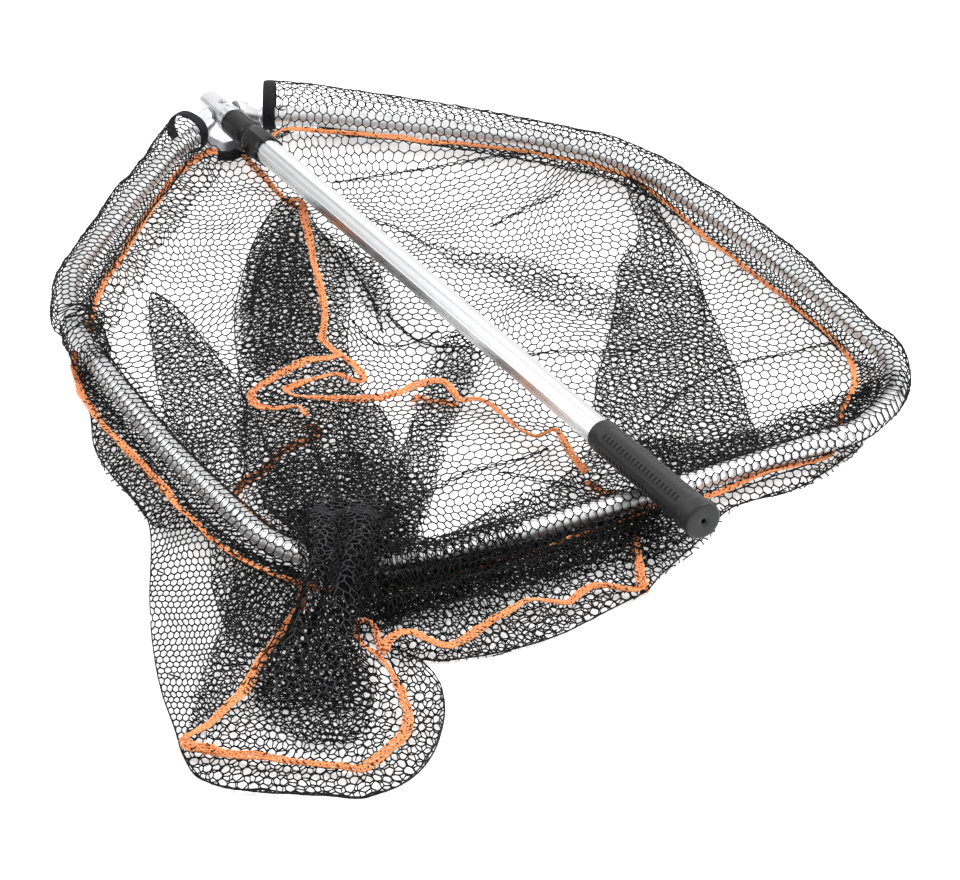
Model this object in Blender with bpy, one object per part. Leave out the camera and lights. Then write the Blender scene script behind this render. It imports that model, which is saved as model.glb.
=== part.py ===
"""Folding landing net: a wide aluminium hoop with a soft mesh bag, a cast yoke at the
hoop's apex, and a telescopic octagonal handle folded flat over the net.

Frame: metres, +Z up, the object lying on the ground at Z = 0.  The origin is on the
ground under the middle of the hoop.  +Y runs from the yoke to the far bar (the stowed
handle points this way), +X is across the hoop.  In object names, left is +X and right
is -X.  Dimensions are in mm from a point on the ground under the fold pivot; one empty
carries everything to the frame's origin.  Handle parts are measured from the fold axis,
with local +Y along the handle.
"""
import math

import bmesh
import bpy
from mathutils import Vector

MM = 0.001
SIDES = (("left", 1), ("right", -1))

# ---------------------------------------------------------------- driving dimensions (mm)
ORIGIN_Y = 400.0         # the frame's origin, along +Y from the fold pivot
PIVOT_Z = 23.7           # fold axis height
HANDLE_TILT = math.atan(0.0285)   # the stowed handle rises towards the far bar

# hoop tube
HOOP_Z = 20.0            # centre of the tube
HOOP_R = 8.8
HOOP_WALL = 1.3
HOOP_START_X = 36.0      # where the tube leaves the yoke's shoulder
HOOP_RIVET_X = 48.0

# corners of the centreline's +X half (x, y), and the radii that round the inner ones
ARM_BEND = (76.0, 42.0)
SHOULDER = (286.6, 232.2)
MID_SIDE = (308.5, 494.4)
FAR_CORNER = (296.5, 758.5)
FAR_CENTRE_Y = 762.3     # the far bar bows out a little at its middle
BEND_R = (190.0, 219.8, 1500.0, 118.0)
ARM_SLOPE = ARM_BEND[1] / ARM_BEND[0]

# pivot and yoke
PIN_R = 4.0
PIN_HOLE_R = PIN_R + 0.4
KNUCKLE_X = (14.4, 19.6)
KNUCKLE_R = 9.0
KNUCKLE_CHAMFER = 0.8
WASHER_X = 12.7
WASHER_T = 1.3
YOKE_PLATE_Z = (6.0, 9.0)

# handle: the Y pairs are the first and last stations along it; AF is across flats
BARREL_R = 12.2
BARREL_BORE = 10.2       # radius
BARREL_Y = (-28.0, 12.6)
FERRULE_R = 12.0
FERRULE_Y = (13.0, 20.4)
COLLAR_Y = (21.0, 58.0)
COLLAR_R = 13.1
COLLAR_BORE = 11.8       # radius
BASE_Y = (58.5, 95.0)
BASE_AF = 27.6
INNER_R = 9.8
INNER_WALL = 1.1
INNER_Y = (8.0, 764.0)
RUNNING_R = INNER_R + 0.35   # clearance bore round the inner tube
NECK_R = INNER_R + 0.5       # wider bore of the collar's neck
TUBE_RIVET_Y = 10.3
TUBE_AF = 23.4
TUBE_SEAT_AF = TUBE_AF + 0.7
TUBE_WALL = 1.4
TUBE_Y = (67.0, 846.0)
GRIP_Y = (694.0, 856.0)
GRIP_R = (13.9, 14.9)
FLANGE_R = 16.1

# net and tapes
BAG_T = 2.5              # collapsed mesh lying on the ground
SLEEVE_R = 14.5          # loose net sleeve round the tube
SLEEVE_WALL = 1.0
TIGHT_R = 9.95           # net stretched tight over the tube
TIGHT_WALL = 0.6
RIBBON_Z = 2.85          # underside of the tapes on the collapsed mesh
RIBBON_T = 1.1
RIBBON_W = 10.0
HEM_Z = 4.3              # the hem tape lies over them
HEM_T = 0.9
HEM_START_X = 60.0
HEM_END_X = 14.0         # the hem tape stops short of the far bar's middle
HEM_OFFSET = (-24.0, 22.0)   # from the tube's centreline, inside and outside the hoop

# mesh resolution
SEG = 32                 # grip, collar base and plugs
TURNED_SEG = 24          # other handle and pivot parts
RIVET_SEG = 16
RING = 14                # hoop tube and its sleeves
HOOP_STEP = 34.0
HEM_STEP = 30.0
RIBBON_STEP = 20.0
BASE_STEP = 17.0
CURVE_STEPS = 8          # spline points per control point
BEND_STEPS = 8           # points per BEND_UNIT radians of a rounded corner
BEND_UNIT = 0.7
SHARP_ANGLE = math.radians(35.0)

# ---------------------------------------------------------------- outlines, (x, y) in mm
YOKE_HALF = [
    (13.8, 27.5), (17.5, 12.5), (20.5, 10.0), (27.5, 16.5), (28.5, 30.0), (31.0, 38.5),
    (22.0, 42.0), (16.0, 49.5),
]
BAG_OUTLINE = [
    (0, 58), (60, 75), (205, 190), (262, 265), (318, 350), (332, 410), (350, 475),
    (366, 580), (385, 635), (435, 735), (462, 815), (487, 900), (485, 935), (455, 965),
    (425, 985), (385, 1001), (350, 999), (318, 980), (285, 940), (264, 885), (200, 880),
    (140, 880), (80, 868), (40, 855), (-55, 808), (-150, 788), (-215, 755), (-262, 715),
    (-300, 650), (-318, 500), (-305, 350), (-262, 262), (-205, 190), (-60, 75),
]
# control points of the tape round the bag's base
BASE_LOOP = [
    (110, 428), (150, 424), (190, 436), (205, 462), (182, 484), (184, 508), (222, 526),
    (262, 546), (277, 585), (272, 655), (285, 720), (330, 778), (385, 827), (450, 868),
    (478, 888), (462, 908), (410, 940), (372, 968), (334, 956), (310, 932), (292, 892),
    (278, 855), (256, 840), (236, 862), (204, 868), (163, 848), (128, 840), (92, 850),
    (66, 862), (60, 838), (72, 790), (55, 735), (15, 690), (0, 635), (20, 595),
    (28, 555), (48, 528), (60, 502), (108, 498), (138, 478), (128, 448),
]
# control points of the seam tapes
SEAMS = {
    "seam_ribbon_apex": [(5, 66), (0, 100), (5, 160), (35, 240), (60, 305), (95, 385),
                         (106, 408)],
    "seam_ribbon_left": [(350, 735), (395, 790), (438, 835), (466, 862)],
    "seam_ribbon_right": [(24, 796), (32, 822), (42, 846)],
}
TAPE_TAIL = [(-74, 60), (-101, 72), (-130, 90)]
APEX_HEM = [(-37, 43.5), (-24, 47.2), (-16, 54.8), (16, 54.8), (24, 47.2), (37, 43.5)]

# ---------------------------------------------------------------- materials
MATERIALS = {
    "aluminium_tube": dict(rgb=(0.80, 0.81, 0.83), roughness=0.28, metallic=1.0),
    "aluminium_cast": dict(rgb=(0.76, 0.77, 0.79), roughness=0.36, metallic=1.0),
    "steel": dict(rgb=(0.62, 0.62, 0.63), roughness=0.25, metallic=1.0),
    "black_plastic": dict(rgb=(0.022, 0.022, 0.024), roughness=0.42),
    "grip_rubber": dict(rgb=(0.075, 0.077, 0.08), roughness=0.68),
    "grey_nylon": dict(rgb=(0.35, 0.35, 0.36), roughness=0.5),
    "net": dict(rgb=(0.018, 0.018, 0.02), roughness=0.5),
    "black_tape": dict(rgb=(0.02, 0.02, 0.022), roughness=0.8),
    "orange_tape": dict(rgb=(0.90, 0.23, 0.04), roughness=0.75),
}


def make_material(name, rgb, roughness, metallic=0.0):
    made = bpy.data.materials.new(name)
    made.use_nodes = True
    inputs = made.node_tree.nodes["Principled BSDF"].inputs
    inputs["Base Color"].default_value = (*rgb, 1.0)
    inputs["Roughness"].default_value = roughness
    inputs["Metallic"].default_value = metallic
    made.diffuse_color = (*rgb, 1.0)
    return made


# ---------------------------------------------------------------- objects and modifiers
def finish(name, bm, mat, parent=None):
    """Turns the bmesh into an object; each object has a material of its own."""
    bmesh.ops.remove_doubles(bm, verts=bm.verts, dist=1e-7)
    bmesh.ops.recalc_face_normals(bm, faces=bm.faces)
    mesh = bpy.data.meshes.new(name)
    bm.to_mesh(mesh)
    bm.free()
    ob = bpy.data.objects.new(name, mesh)
    bpy.context.scene.collection.objects.link(ob)
    if mat:
        mesh.materials.append(make_material(name + "_mat", **MATERIALS[mat]))
    mesh.shade_smooth()
    mesh.set_sharp_from_angle(angle=SHARP_ANGLE)
    ob.parent = parent
    return ob


def add_empty(name, location):
    """An empty; location in mm."""
    empty = bpy.data.objects.new(name, None)
    bpy.context.scene.collection.objects.link(empty)
    return place(empty, *location)


def place(ob, x=0.0, y=0.0, z=0.0):
    ob.location = (x * MM, y * MM, z * MM)
    return ob


def boolean(ob, tool, operation="DIFFERENCE"):
    """Cuts the tool from the object, or joins it on, and hides the tool."""
    tool.hide_render = True
    tool.display_type = "WIRE"
    modifier = ob.modifiers.new(operation.lower(), "BOOLEAN")
    modifier.operation = operation
    modifier.solver = "EXACT"
    modifier.object = tool


# ---------------------------------------------------------------- generic shapes
def polygon(across_flats, sides=8, turn=0.0):
    """Radius at angle a of a regular polygon with the middle of a flat at angle turn."""
    pitch = 2 * math.pi / sides

    def radius(a):
        from_flat = (a - turn + pitch / 2) % pitch - pitch / 2
        return across_flats / 2 / math.cos(from_flat)
    return radius


def angles(n):
    return [2 * math.pi * i / n for i in range(n)]


def on_axis(axis, station, a, b):
    return {"X": (station, a, b), "Y": (a, station, b), "Z": (a, b, station)}[axis]


def add_vert(bm, point):
    return bm.verts.new([c * MM for c in point])


def bridge(bm, rings, closed=False):
    """Quads between successive rings; closed joins the last ring to the first."""
    following = rings[1:] + rings[:1] if closed else rings[1:]
    for a, b in zip(rings, following):
        n = len(a)
        for j in range(n):
            k = (j + 1) % n
            bm.faces.new((a[j], a[k], b[k], b[j]))


def shell(name, loop, mat, parent=None, n=TURNED_SEG, thetas=None, axis="Y"):
    """A ring-shaped solid; loop is its closed section: (station, radius or r(angle))."""
    bm = bmesh.new()
    rings = []
    for station, radius in loop:
        ring = []
        for a in thetas or angles(n):
            r = radius(a) if callable(radius) else radius
            point = on_axis(axis, station, r * math.sin(a), r * math.cos(a))
            ring.append(add_vert(bm, point))
        rings.append(ring)
    bridge(bm, rings, closed=True)
    return finish(name, bm, mat, parent)


def turned(name, profile, mat, parent=None, n=TURNED_SEG, axis="Y"):
    """A solid of revolution; the profile (station, radius) starts and ends on the axis."""
    bm = bmesh.new()
    rows = []
    for station, r in profile:
        if r == 0:
            rows.append([add_vert(bm, on_axis(axis, station, 0, 0))])
        else:
            rows.append([add_vert(bm, on_axis(axis, station, r * math.cos(a), r * math.sin(a)))
                         for a in angles(n)])
    for a, b in zip(rows, rows[1:]):
        for j in range(n):
            k = (j + 1) % n
            corners = [a[j % len(a)], a[k % len(a)], b[k % len(b)], b[j % len(b)]]
            corners = list(dict.fromkeys(corners))
            if len(corners) > 2:
                bm.faces.new(corners)
    return finish(name, bm, mat, parent)


def drill(name, start, end, radius, axis, parent=None, n=TURNED_SEG):
    """A plain cylinder used as a cutter."""
    profile = [(start, 0), (start, radius), (end, radius), (end, 0)]
    return turned(name, profile, None, parent, n=n, axis=axis)


def prism(name, outline, z0, z1, mat):
    """A flat plate with the plan outline between two heights."""
    bm = bmesh.new()
    face = bm.faces.new([add_vert(bm, (x, y, z0)) for x, y in outline])
    extruded = bmesh.ops.extrude_face_region(bm, geom=[face])
    top = [v for v in extruded["geom"] if isinstance(v, bmesh.types.BMVert)]
    bmesh.ops.translate(bm, verts=top, vec=(0, 0, (z1 - z0) * MM))
    bmesh.ops.triangulate(bm, faces=[f for f in bm.faces if len(f.verts) > 4])
    return finish(name, bm, mat)


def path_frames(path, closed):
    """Point, level side vector and up vector at each 3-D point of the path."""
    frames = []
    n = len(path)
    for i in range(n):
        before, after = (i - 1, (i + 1) % n) if closed else (max(i - 1, 0), min(i + 1, n - 1))
        tangent = (Vector(path[after]) - Vector(path[before])).normalized()
        side = tangent.cross(Vector((0, 0, 1))).normalized()
        frames.append((Vector(path[i]), side, side.cross(tangent)))
    return frames


def sweep(name, path, section, mat, bore=None, closed=False):
    """Sweeps a closed section along the path; with a bore it is a tube with open ends.

    section and bore are lists of (side, up) points, or functions of the share along
    the path that return one.
    """
    bm = bmesh.new()
    frames = path_frames(path, closed)

    def skin(outline):
        rings = []
        for i, (centre, side, up) in enumerate(frames):
            points = outline(i / (len(frames) - 1)) if callable(outline) else outline
            rings.append([bm.verts.new((centre + side * a + up * b) * MM) for a, b in points])
        bridge(bm, rings, closed)
        return rings

    outer = skin(section)
    if bore:
        inner = skin(bore)
        for end in (0, -1):
            bridge(bm, [outer[end], inner[end]])
    elif not closed:
        bm.faces.new(outer[0])
        bm.faces.new(outer[-1])
    return finish(name, bm, mat)


def round_section(r, n=RING):
    return [(r * math.cos(a), r * math.sin(a)) for a in angles(n)]


def flat_section(width, height):
    return [(-width / 2, 0), (width / 2, 0), (width / 2, height), (-width / 2, height)]


def clamped_share(value, start, end):
    return min(1.0, max(0.0, (value - start) / (end - start)))


def tapered_section(r0, r1, start, end):
    """A round section easing from r0 to r1 between two shares of the path."""
    def section(share):
        w = clamped_share(share, start, end)
        w = w * w * (3 - 2 * w)
        return round_section(r0 + (r1 - r0) * w)
    return section


# ---------------------------------------------------------------- plan paths
def fillet_path(points, radii):
    """A polyline with its inner vertices rounded to the given radii."""
    out = [points[0]]
    for before, corner, after, radius in zip(points, points[1:], points[2:], radii):
        u, v = before - corner, after - corner
        half_angle = u.angle(v) / 2
        trim = min(radius / math.tan(half_angle), 0.48 * u.length, 0.48 * v.length)
        radius = trim * math.tan(half_angle)
        u.normalize()
        v.normalize()
        centre = corner + (u + v).normalized() * (radius / math.sin(half_angle))
        first = (corner + u * trim) - centre
        last = (corner + v * trim) - centre
        total = first.angle(last)
        count = max(3, int(BEND_STEPS * total / BEND_UNIT))
        for j in range(count + 1):
            w = j / count
            out.append(centre + first * (math.sin((1 - w) * total) / math.sin(total))
                       + last * (math.sin(w * total) / math.sin(total)))
    out.append(points[-1])
    return out


def resample(points, step):
    """Evenly spaced points along a polyline, about step apart."""
    out = [points[0].copy()]
    total = sum((b - a).length for a, b in zip(points, points[1:]))
    n = max(2, round(total / step))
    step = total / n
    wanted = step
    run = 0.0
    for a, b in zip(points, points[1:]):
        length = (b - a).length
        while wanted <= run + length + 1e-9 and len(out) < n:
            out.append(a.lerp(b, (wanted - run) / length))
            wanted += step
        run += length
    out.append(points[-1].copy())
    return out


def smooth_curve(control, step):
    """Catmull-Rom curve through plan control points, evenly resampled."""
    v = [Vector(p) for p in control]
    v = [v[0] * 2 - v[1]] + v + [v[-1] * 2 - v[-2]]
    out = []
    for a, b, c, d in zip(v, v[1:], v[2:], v[3:]):
        for j in range(CURVE_STEPS):
            t = j / CURVE_STEPS
            out.append(0.5 * ((2 * b) + (c - a) * t + (2 * a - 5 * b + 4 * c - d) * t * t
                              + (3 * b - a - 3 * c + d) * t ** 3))
    out.append(v[-2])
    return resample(out, step)


def hoop_line(x):
    """Plan point of the centreline's straight stretch beside the yoke."""
    return (x, abs(x) * ARM_SLOPE)


def hoop_point(x, z=HOOP_Z):
    return Vector((*hoop_line(x), z))


def half_hoop(step, start_x):
    """The centreline's +X half in plan, from x = start_x to the far bar's middle."""
    corners = [(0, 0), ARM_BEND, SHOULDER, MID_SIDE, FAR_CORNER, (0, FAR_CENTRE_Y)]
    path = resample(fillet_path([Vector(p) for p in corners], BEND_R), step)
    # drop the points before the start, but keep those on the far bar
    return [Vector(hoop_line(start_x))] + [p for p in path if p.x > start_x + 4 or p.y > 300]


def mirrored(path):
    return [Vector((-p.x, p.y)) for p in path]


def both_halves(path):
    """Extends a path that ends at x = 0 with its mirror image."""
    return path + mirrored(path[:-1])[::-1]


def at_height(path, z):
    return [(x, y, z) for x, y in path]


# ---------------------------------------------------------------- hoop tube and yoke
def build_hoop():
    path = both_halves(half_hoop(HOOP_STEP, HOOP_START_X))
    return sweep("hoop_tube", at_height(path, HOOP_Z), round_section(HOOP_R), "aluminium_tube",
                 bore=round_section(HOOP_R - HOOP_WALL))


def yoke_side_tools(tag, side):
    """The solids joined to the yoke's plate on one side, in joining order."""
    near, far = (x * side for x in KNUCKLE_X)
    profile = [(near, 0), (near, KNUCKLE_R - KNUCKLE_CHAMFER),
               (near + KNUCKLE_CHAMFER * side, KNUCKLE_R), (far, KNUCKLE_R), (far, 0)]
    knuckle = turned("tool_knuckle_" + tag, profile, None, n=28, axis="X")
    place(knuckle, z=PIVOT_Z)

    arm_path = [Vector((15.6 * side, 9.4, PIVOT_Z - 0.6)), hoop_point(31.0 * side, HOOP_Z + 0.2)]
    arm = sweep("tool_arm_" + tag, arm_path, round_section(5.3, 20), None)

    start, end = hoop_point(29.6 * side), hoop_point((HOOP_START_X - 0.5) * side)
    shoulder = sweep("tool_shoulder_" + tag, [start, start.lerp(end, 0.2), end],
                     lambda share: round_section(7.4 if share == 0 else 8.5, 24), None)

    # the spigot fits inside the hoop tube
    spigot_path = [hoop_point((HOOP_START_X - 2.0) * side), hoop_point(56.0 * side)]
    spigot = sweep("tool_spigot_" + tag, spigot_path,
                   round_section(HOOP_R - HOOP_WALL - 0.5), None)

    rib_path = [(19.5 * side, 11.8, 6.5), (30.5 * side, 18.0, 6.5)]
    rib = sweep("tool_rib_" + tag, rib_path, flat_section(4.4, 13.0), None)
    return knuckle, arm, shoulder, spigot, rib


def build_yoke():
    plate = YOKE_HALF + [(-x, y) for x, y in YOKE_HALF[::-1]]
    yoke = prism("yoke", plate, *YOKE_PLATE_Z, "aluminium_cast")
    for tag, side in SIDES:
        for tool in yoke_side_tools(tag, side):
            boolean(yoke, tool, "UNION")
    bore = drill("cut_pin_bore", -40, 40, PIN_HOLE_R, "X")
    boolean(yoke, place(bore, z=PIVOT_Z))
    return yoke


def build_hoop_rivets(hoop, yoke):
    """A rivet down through the top of the tube into the spigot on each side."""
    seat = HOOP_R + 0.35
    profile = [(2.0, 0), (2.0, 1.9), (seat, 1.9), (seat, 3.6), (seat + 0.5, 3.5),
               (seat + 1.2, 2.5), (seat + 1.5, 0)]
    for tag, side in SIDES:
        x, y = hoop_line(HOOP_RIVET_X * side)
        cut = drill("cut_rivet_" + tag, 1.6, 12, 2.25, "Z", n=RIVET_SEG)
        place(cut, x, y, HOOP_Z)
        boolean(hoop, cut)
        boolean(yoke, cut)
        rivet = turned("hoop_rivet_" + tag, profile, "steel", n=RIVET_SEG, axis="Z")
        place(rivet, x, y, HOOP_Z)


def build_pivot():
    """The pin with its head at +X and its nut at -X, and two thrust washers."""
    pin = turned("pivot_pin", [
        (-24.2, 0), (-24.2, 2.3), (-23.9, 2.6), (-20.0, 2.6), (-20.0, PIN_R), (20.0, PIN_R),
        (20.0, 4.9), (21.2, 4.9), (22.2, 3.8), (22.2, 0),
    ], "steel", axis="X")
    place(pin, z=PIVOT_Z)
    hexagon = polygon(8.8, sides=6, turn=math.pi / 2)
    nut = shell("pivot_nut", [(-23.5, 2.95), (-20.4, 2.95), (-20.4, hexagon), (-23.5, hexagon)],
                "steel", axis="X")
    place(nut, z=PIVOT_Z)
    for tag, side in SIDES:
        near = WASHER_X * side
        far = near + WASHER_T * side
        bore, rim = PIN_R + 0.35, 8.4
        washer = shell("thrust_washer_" + tag,
                       [(near, bore), (near, rim), (far, rim), (far, bore)],
                       "grey_nylon", axis="X")
        place(washer, z=PIVOT_Z)


# ---------------------------------------------------------------- folding handle
def build_barrel(fold):
    start, end = BARREL_Y
    barrel = shell("hinge_barrel", [
        (start, BARREL_R - 1.0), (start + 1.0, BARREL_R), (end, BARREL_R),
        (end, BARREL_BORE), (start, BARREL_BORE),
    ], "aluminium_cast", fold)
    boolean(barrel, drill("cut_barrel_pin", -20, 20, PIN_HOLE_R, "X", fold))
    boolean(barrel, drill("cut_button", 5, 16, 3.5, "Z", fold))
    turned("barrel_plug", [
        (start - 1.4, 0), (start - 1.4, 9.5), (start - 0.4, 10.8), (start - 0.4, 9.8),
        (start + 8, 9.8), (start + 8, 0),
    ], "black_plastic", fold, n=SEG)
    return barrel


def build_lock_button(fold):
    """Domed button through the barrel's top, with its shoulder inside."""
    turned("lock_button", [
        (7.1, 0), (7.1, 1.5), (7.9, 1.5), (7.9, 4.2), (9.2, 4.2), (9.2, 3.1), (13.2, 3.1),
        (14.3, 2.4), (14.8, 1.2), (14.9, 0),
    ], "steel", fold, axis="Z")


def build_button_spring(fold):
    """Coil spring between the pin and the button's shoulder."""
    turns, steps_per_turn = 3, 14
    wire_r, coil_r = 0.28, 2.6
    z_low, z_high = 4.75, 7.5
    steps = turns * steps_per_turn
    bm = bmesh.new()
    rings = []
    for i in range(steps + 1):
        a = 2 * math.pi * turns * i / steps
        radial = Vector((math.cos(a), math.sin(a), 0))
        centre = Vector((coil_r * math.cos(a), coil_r * math.sin(a),
                         z_low + (z_high - z_low) * i / steps))
        rings.append([bm.verts.new((centre + radial * x + Vector((0, 0, z))) * MM)
                      for x, z in round_section(wire_r, 6)])
    bridge(bm, rings)
    bm.faces.new(rings[0])
    bm.faces.new(rings[-1])
    finish("button_spring", bm, "steel", fold)


def build_ferrule(fold):
    """Ring between barrel and collar, with three raised bands of falling height."""
    start, end = FERRULE_Y
    loop = [(start, RUNNING_R), (start, FERRULE_R)]
    for i in range(3):
        band = start + 0.5 + i * 2.3
        crest = 12.9 - 0.25 * i
        loop += [(band, FERRULE_R), (band + 0.3, crest), (band + 1.5, crest), (band + 1.8, 11.9)]
    loop += [(end, 11.9), (end, RUNNING_R)]
    shell("ferrule", loop, "aluminium_tube", fold)


def build_inner_tube(fold, barrel):
    """The sliding tube, its rivet through the barrel, and the bush at its +Y end."""
    start, end = INNER_Y
    bore = INNER_R - INNER_WALL
    inner = shell("inner_tube", [(start, bore), (start, INNER_R), (end, INNER_R), (end, bore)],
                  "aluminium_tube", fold)
    cut = drill("cut_tube_rivet", -15, 15, 1.75, "Z", fold, n=RIVET_SEG)
    place(cut, y=TUBE_RIVET_Y)
    boolean(barrel, cut)
    boolean(inner, cut)
    rivet = turned("tube_rivet", [
        (-13.6, 0), (-13.4, 1.6), (-12.55, 2.2), (-12.55, 1.45), (11.6, 1.45), (11.9, 1.2),
        (11.9, 0),
    ], "steel", fold, n=RIVET_SEG, axis="Z")
    place(rivet, y=TUBE_RIVET_Y)
    shell("guide_bush", [(end + 0.4, 5.5), (end + 0.4, 10.05), (end + 9.0, 10.05),
                         (end + 9.0, 5.5)], "grey_nylon", fold)


def build_collar(fold):
    """Locking collar, its seal, and the collet that it squeezes on the inner tube."""
    start, end = COLLAR_Y
    shell("locking_collar", [
        (start, NECK_R), (start, COLLAR_R - 0.8), (start + 0.8, COLLAR_R),
        # shallow groove round the outside
        (start + 3.0, COLLAR_R), (start + 3.4, COLLAR_R - 0.4),
        (start + 4.4, COLLAR_R - 0.4), (start + 4.8, COLLAR_R),
        (end - 3.0, COLLAR_R), (end - 0.6, COLLAR_R - 0.5), (end, COLLAR_R - 1.0),
        (end, COLLAR_BORE), (start + 8.0, COLLAR_BORE), (start + 8.0, NECK_R),
        # seal groove
        (start + 5.6, NECK_R), (start + 5.6, 11.9), (start + 2.6, 11.9), (start + 2.6, NECK_R),
    ], "black_plastic", fold)
    shell("collar_seal",
          [(start + 4.1 + 0.85 * math.cos(a), 11.0 + 0.7 * math.sin(a)) for a in angles(8)],
          "black_plastic", fold)
    shell("lock_collet", [
        (start + 10, RUNNING_R), (start + 10, 11.0), (start + 14, 11.4), (end + 7.0, 11.4),
        (end + 7.0, RUNNING_R),
    ], "grey_nylon", fold)


def build_collar_base(fold):
    """Round at the collar, octagonal where it takes the outer tube."""
    start, end = BASE_Y
    tube_stop = TUBE_Y[0] - 0.4
    shell("collar_base", [
        (start, COLLAR_BORE), (start, COLLAR_R - 0.8), (start + 1.2, COLLAR_R - 0.2),
        (start + 2.2, COLLAR_R - 0.2), (start + 5.0, polygon(BASE_AF)),
        (end - 3.0, polygon(BASE_AF)), (end, polygon(TUBE_AF + 2.2)),
        (end, polygon(TUBE_SEAT_AF)), (tube_stop, polygon(TUBE_SEAT_AF)),
        (tube_stop, COLLAR_BORE),
    ], "black_plastic", fold, n=SEG)


def build_outer_tube(fold):
    """Octagonal tube with a pair of shallow grooves along each diagonal facet."""
    apothem = TUBE_AF / 2
    groove_depth = 0.45
    radii = {}
    for k in range(8):
        turn = k * math.pi / 4
        marks = [(-apothem * math.tan(math.pi / 8), 0.0)]   # across the facet, depth
        if k % 2:
            for c in (-1.15, 1.15):
                marks += [(c - 0.6, 0.0), (c - 0.35, groove_depth),
                          (c + 0.35, groove_depth), (c + 0.6, 0.0)]
        for across, depth in marks:
            out = apothem - depth
            x = across * math.cos(turn) + out * math.sin(turn)
            z = out * math.cos(turn) - across * math.sin(turn)
            radii[math.atan2(x, z)] = math.hypot(x, z)
    start, end = TUBE_Y
    outside = radii.__getitem__
    bore = polygon(TUBE_AF - 2 * TUBE_WALL)
    shell("outer_tube", [(start, outside), (end, outside), (end, bore), (start, bore)],
          "aluminium_tube", fold, thetas=list(radii))


def build_grip(fold):
    """Rubber grip that widens to an end flange, and the plug in the tube's end."""
    start, end = GRIP_Y
    body_end = end - 19.0
    near_r, far_r = GRIP_R
    seat = polygon(TUBE_SEAT_AF)
    loop = [(start, seat), (start, near_r - 0.3), (start + 1.0, near_r)]
    loop += [(start + 12 + (body_end - start - 14) * i / 4, near_r + (far_r - near_r) * i / 4)
             for i in range(5)]
    loop += [(body_end, far_r), (body_end + 3.0, FLANGE_R - 0.6), (body_end + 5.0, FLANGE_R),
             (end - 3.5, FLANGE_R), (end - 1.0, FLANGE_R - 1.2), (end, FLANGE_R - 3.6),
             (end, 2.2), (end - 3.4, 2.2), (end - 3.4, seat)]
    shell("rubber_grip", loop, "grip_rubber", fold, n=SEG)
    tip = TUBE_Y[1]
    turned("tube_end_plug", [
        (tip - 18, 0), (tip - 18, 9.6), (tip - 16, 9.95), (tip + 0.3, 9.95),
        (tip + 0.3, 11.4), (tip + 3.0, 11.4), (tip + 3.0, 0),
    ], "grey_nylon", fold, n=SEG)


def build_handle():
    fold = add_empty("fold_axis", (0, 0, PIVOT_Z))
    fold.rotation_euler = (HANDLE_TILT, 0, 0)
    barrel = build_barrel(fold)
    build_lock_button(fold)
    build_button_spring(fold)
    build_ferrule(fold)
    build_inner_tube(fold, barrel)
    build_collar(fold)
    build_collar_base(fold)
    build_outer_tube(fold)
    build_grip(fold)


# ---------------------------------------------------------------- net and tapes
def build_sleeves():
    """Net sleeves round the tube: two along the sides and one on the far bar."""
    half = half_hoop(HOOP_STEP, HOOP_START_X)
    side_path = [Vector(hoop_line(HOOP_START_X + 3.0))]
    side_path += [p for p in half[1:] if p.x > 268.0 or p.y < 600.0]
    loose_bore = SLEEVE_R - SLEEVE_WALL
    tight_bore = TIGHT_R - TIGHT_WALL
    # +X side: loose beside the yoke, drawn tight over the tube past the shoulder
    sweep("net_sleeve_left", at_height(side_path, HOOP_Z),
          tapered_section(SLEEVE_R, TIGHT_R, 0.38, 0.5), "net",
          bore=tapered_section(loose_bore, tight_bore, 0.38, 0.5))
    # -X side: loose all along, a little narrower towards the far corner
    sweep("net_sleeve_right", at_height(mirrored(side_path), HOOP_Z),
          tapered_section(SLEEVE_R, SLEEVE_R - 1.0, 0.8, 1.0), "net",
          bore=tapered_section(loose_bore, loose_bore - 1.0, 0.8, 1.0))
    far_path = both_halves([p for p in half if p.x <= 250.0 and p.y > 700.0])
    sweep("net_sleeve_far", at_height(far_path, HOOP_Z), round_section(TIGHT_R), "net",
          bore=round_section(tight_bore))


def build_binding_bands():
    """A black band round each side sleeve beside the yoke."""
    for tag, side in SIDES:
        sweep("binding_band_" + tag, [hoop_point(x * side) for x in (40.0, 49.5)],
              round_section(SLEEVE_R + 1.7), "black_tape", bore=round_section(SLEEVE_R + 0.5))


def hem_ribbon(name, side, cross_start, cross_end):
    """Hem tape: inside the hoop from the yoke, under the tube, then outside it.

    It crosses under the tube between the two shares of its length.
    """
    path = [p for p in half_hoop(HEM_STEP, HEM_START_X) if p.x > HEM_END_X or p.y < 600]
    last = len(path) - 1
    inside, outside = HEM_OFFSET
    points = []
    for i, p in enumerate(path):
        tangent = (path[min(i + 1, last)] - path[max(i - 1, 0)]).normalized()
        outwards = Vector((tangent.y, -tangent.x))
        crossed = clamped_share(i / last, cross_start, cross_end)
        p = p + outwards * (inside + (outside - inside) * crossed)
        points.append((p.x * side, p.y, HEM_Z))
    sweep(name, points, flat_section(RIBBON_W, HEM_T), "orange_tape")


def ribbon(name, control, width=RIBBON_W, mat="orange_tape", closed=False):
    """A flat tape on the collapsed mesh, along a curve through the control points."""
    if closed:
        path = smooth_curve(control + [control[0]], BASE_STEP)[:-1]
    else:
        path = smooth_curve(control, RIBBON_STEP)
    sweep(name, at_height(path, RIBBON_Z), flat_section(width, RIBBON_T), mat, closed=closed)


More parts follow.
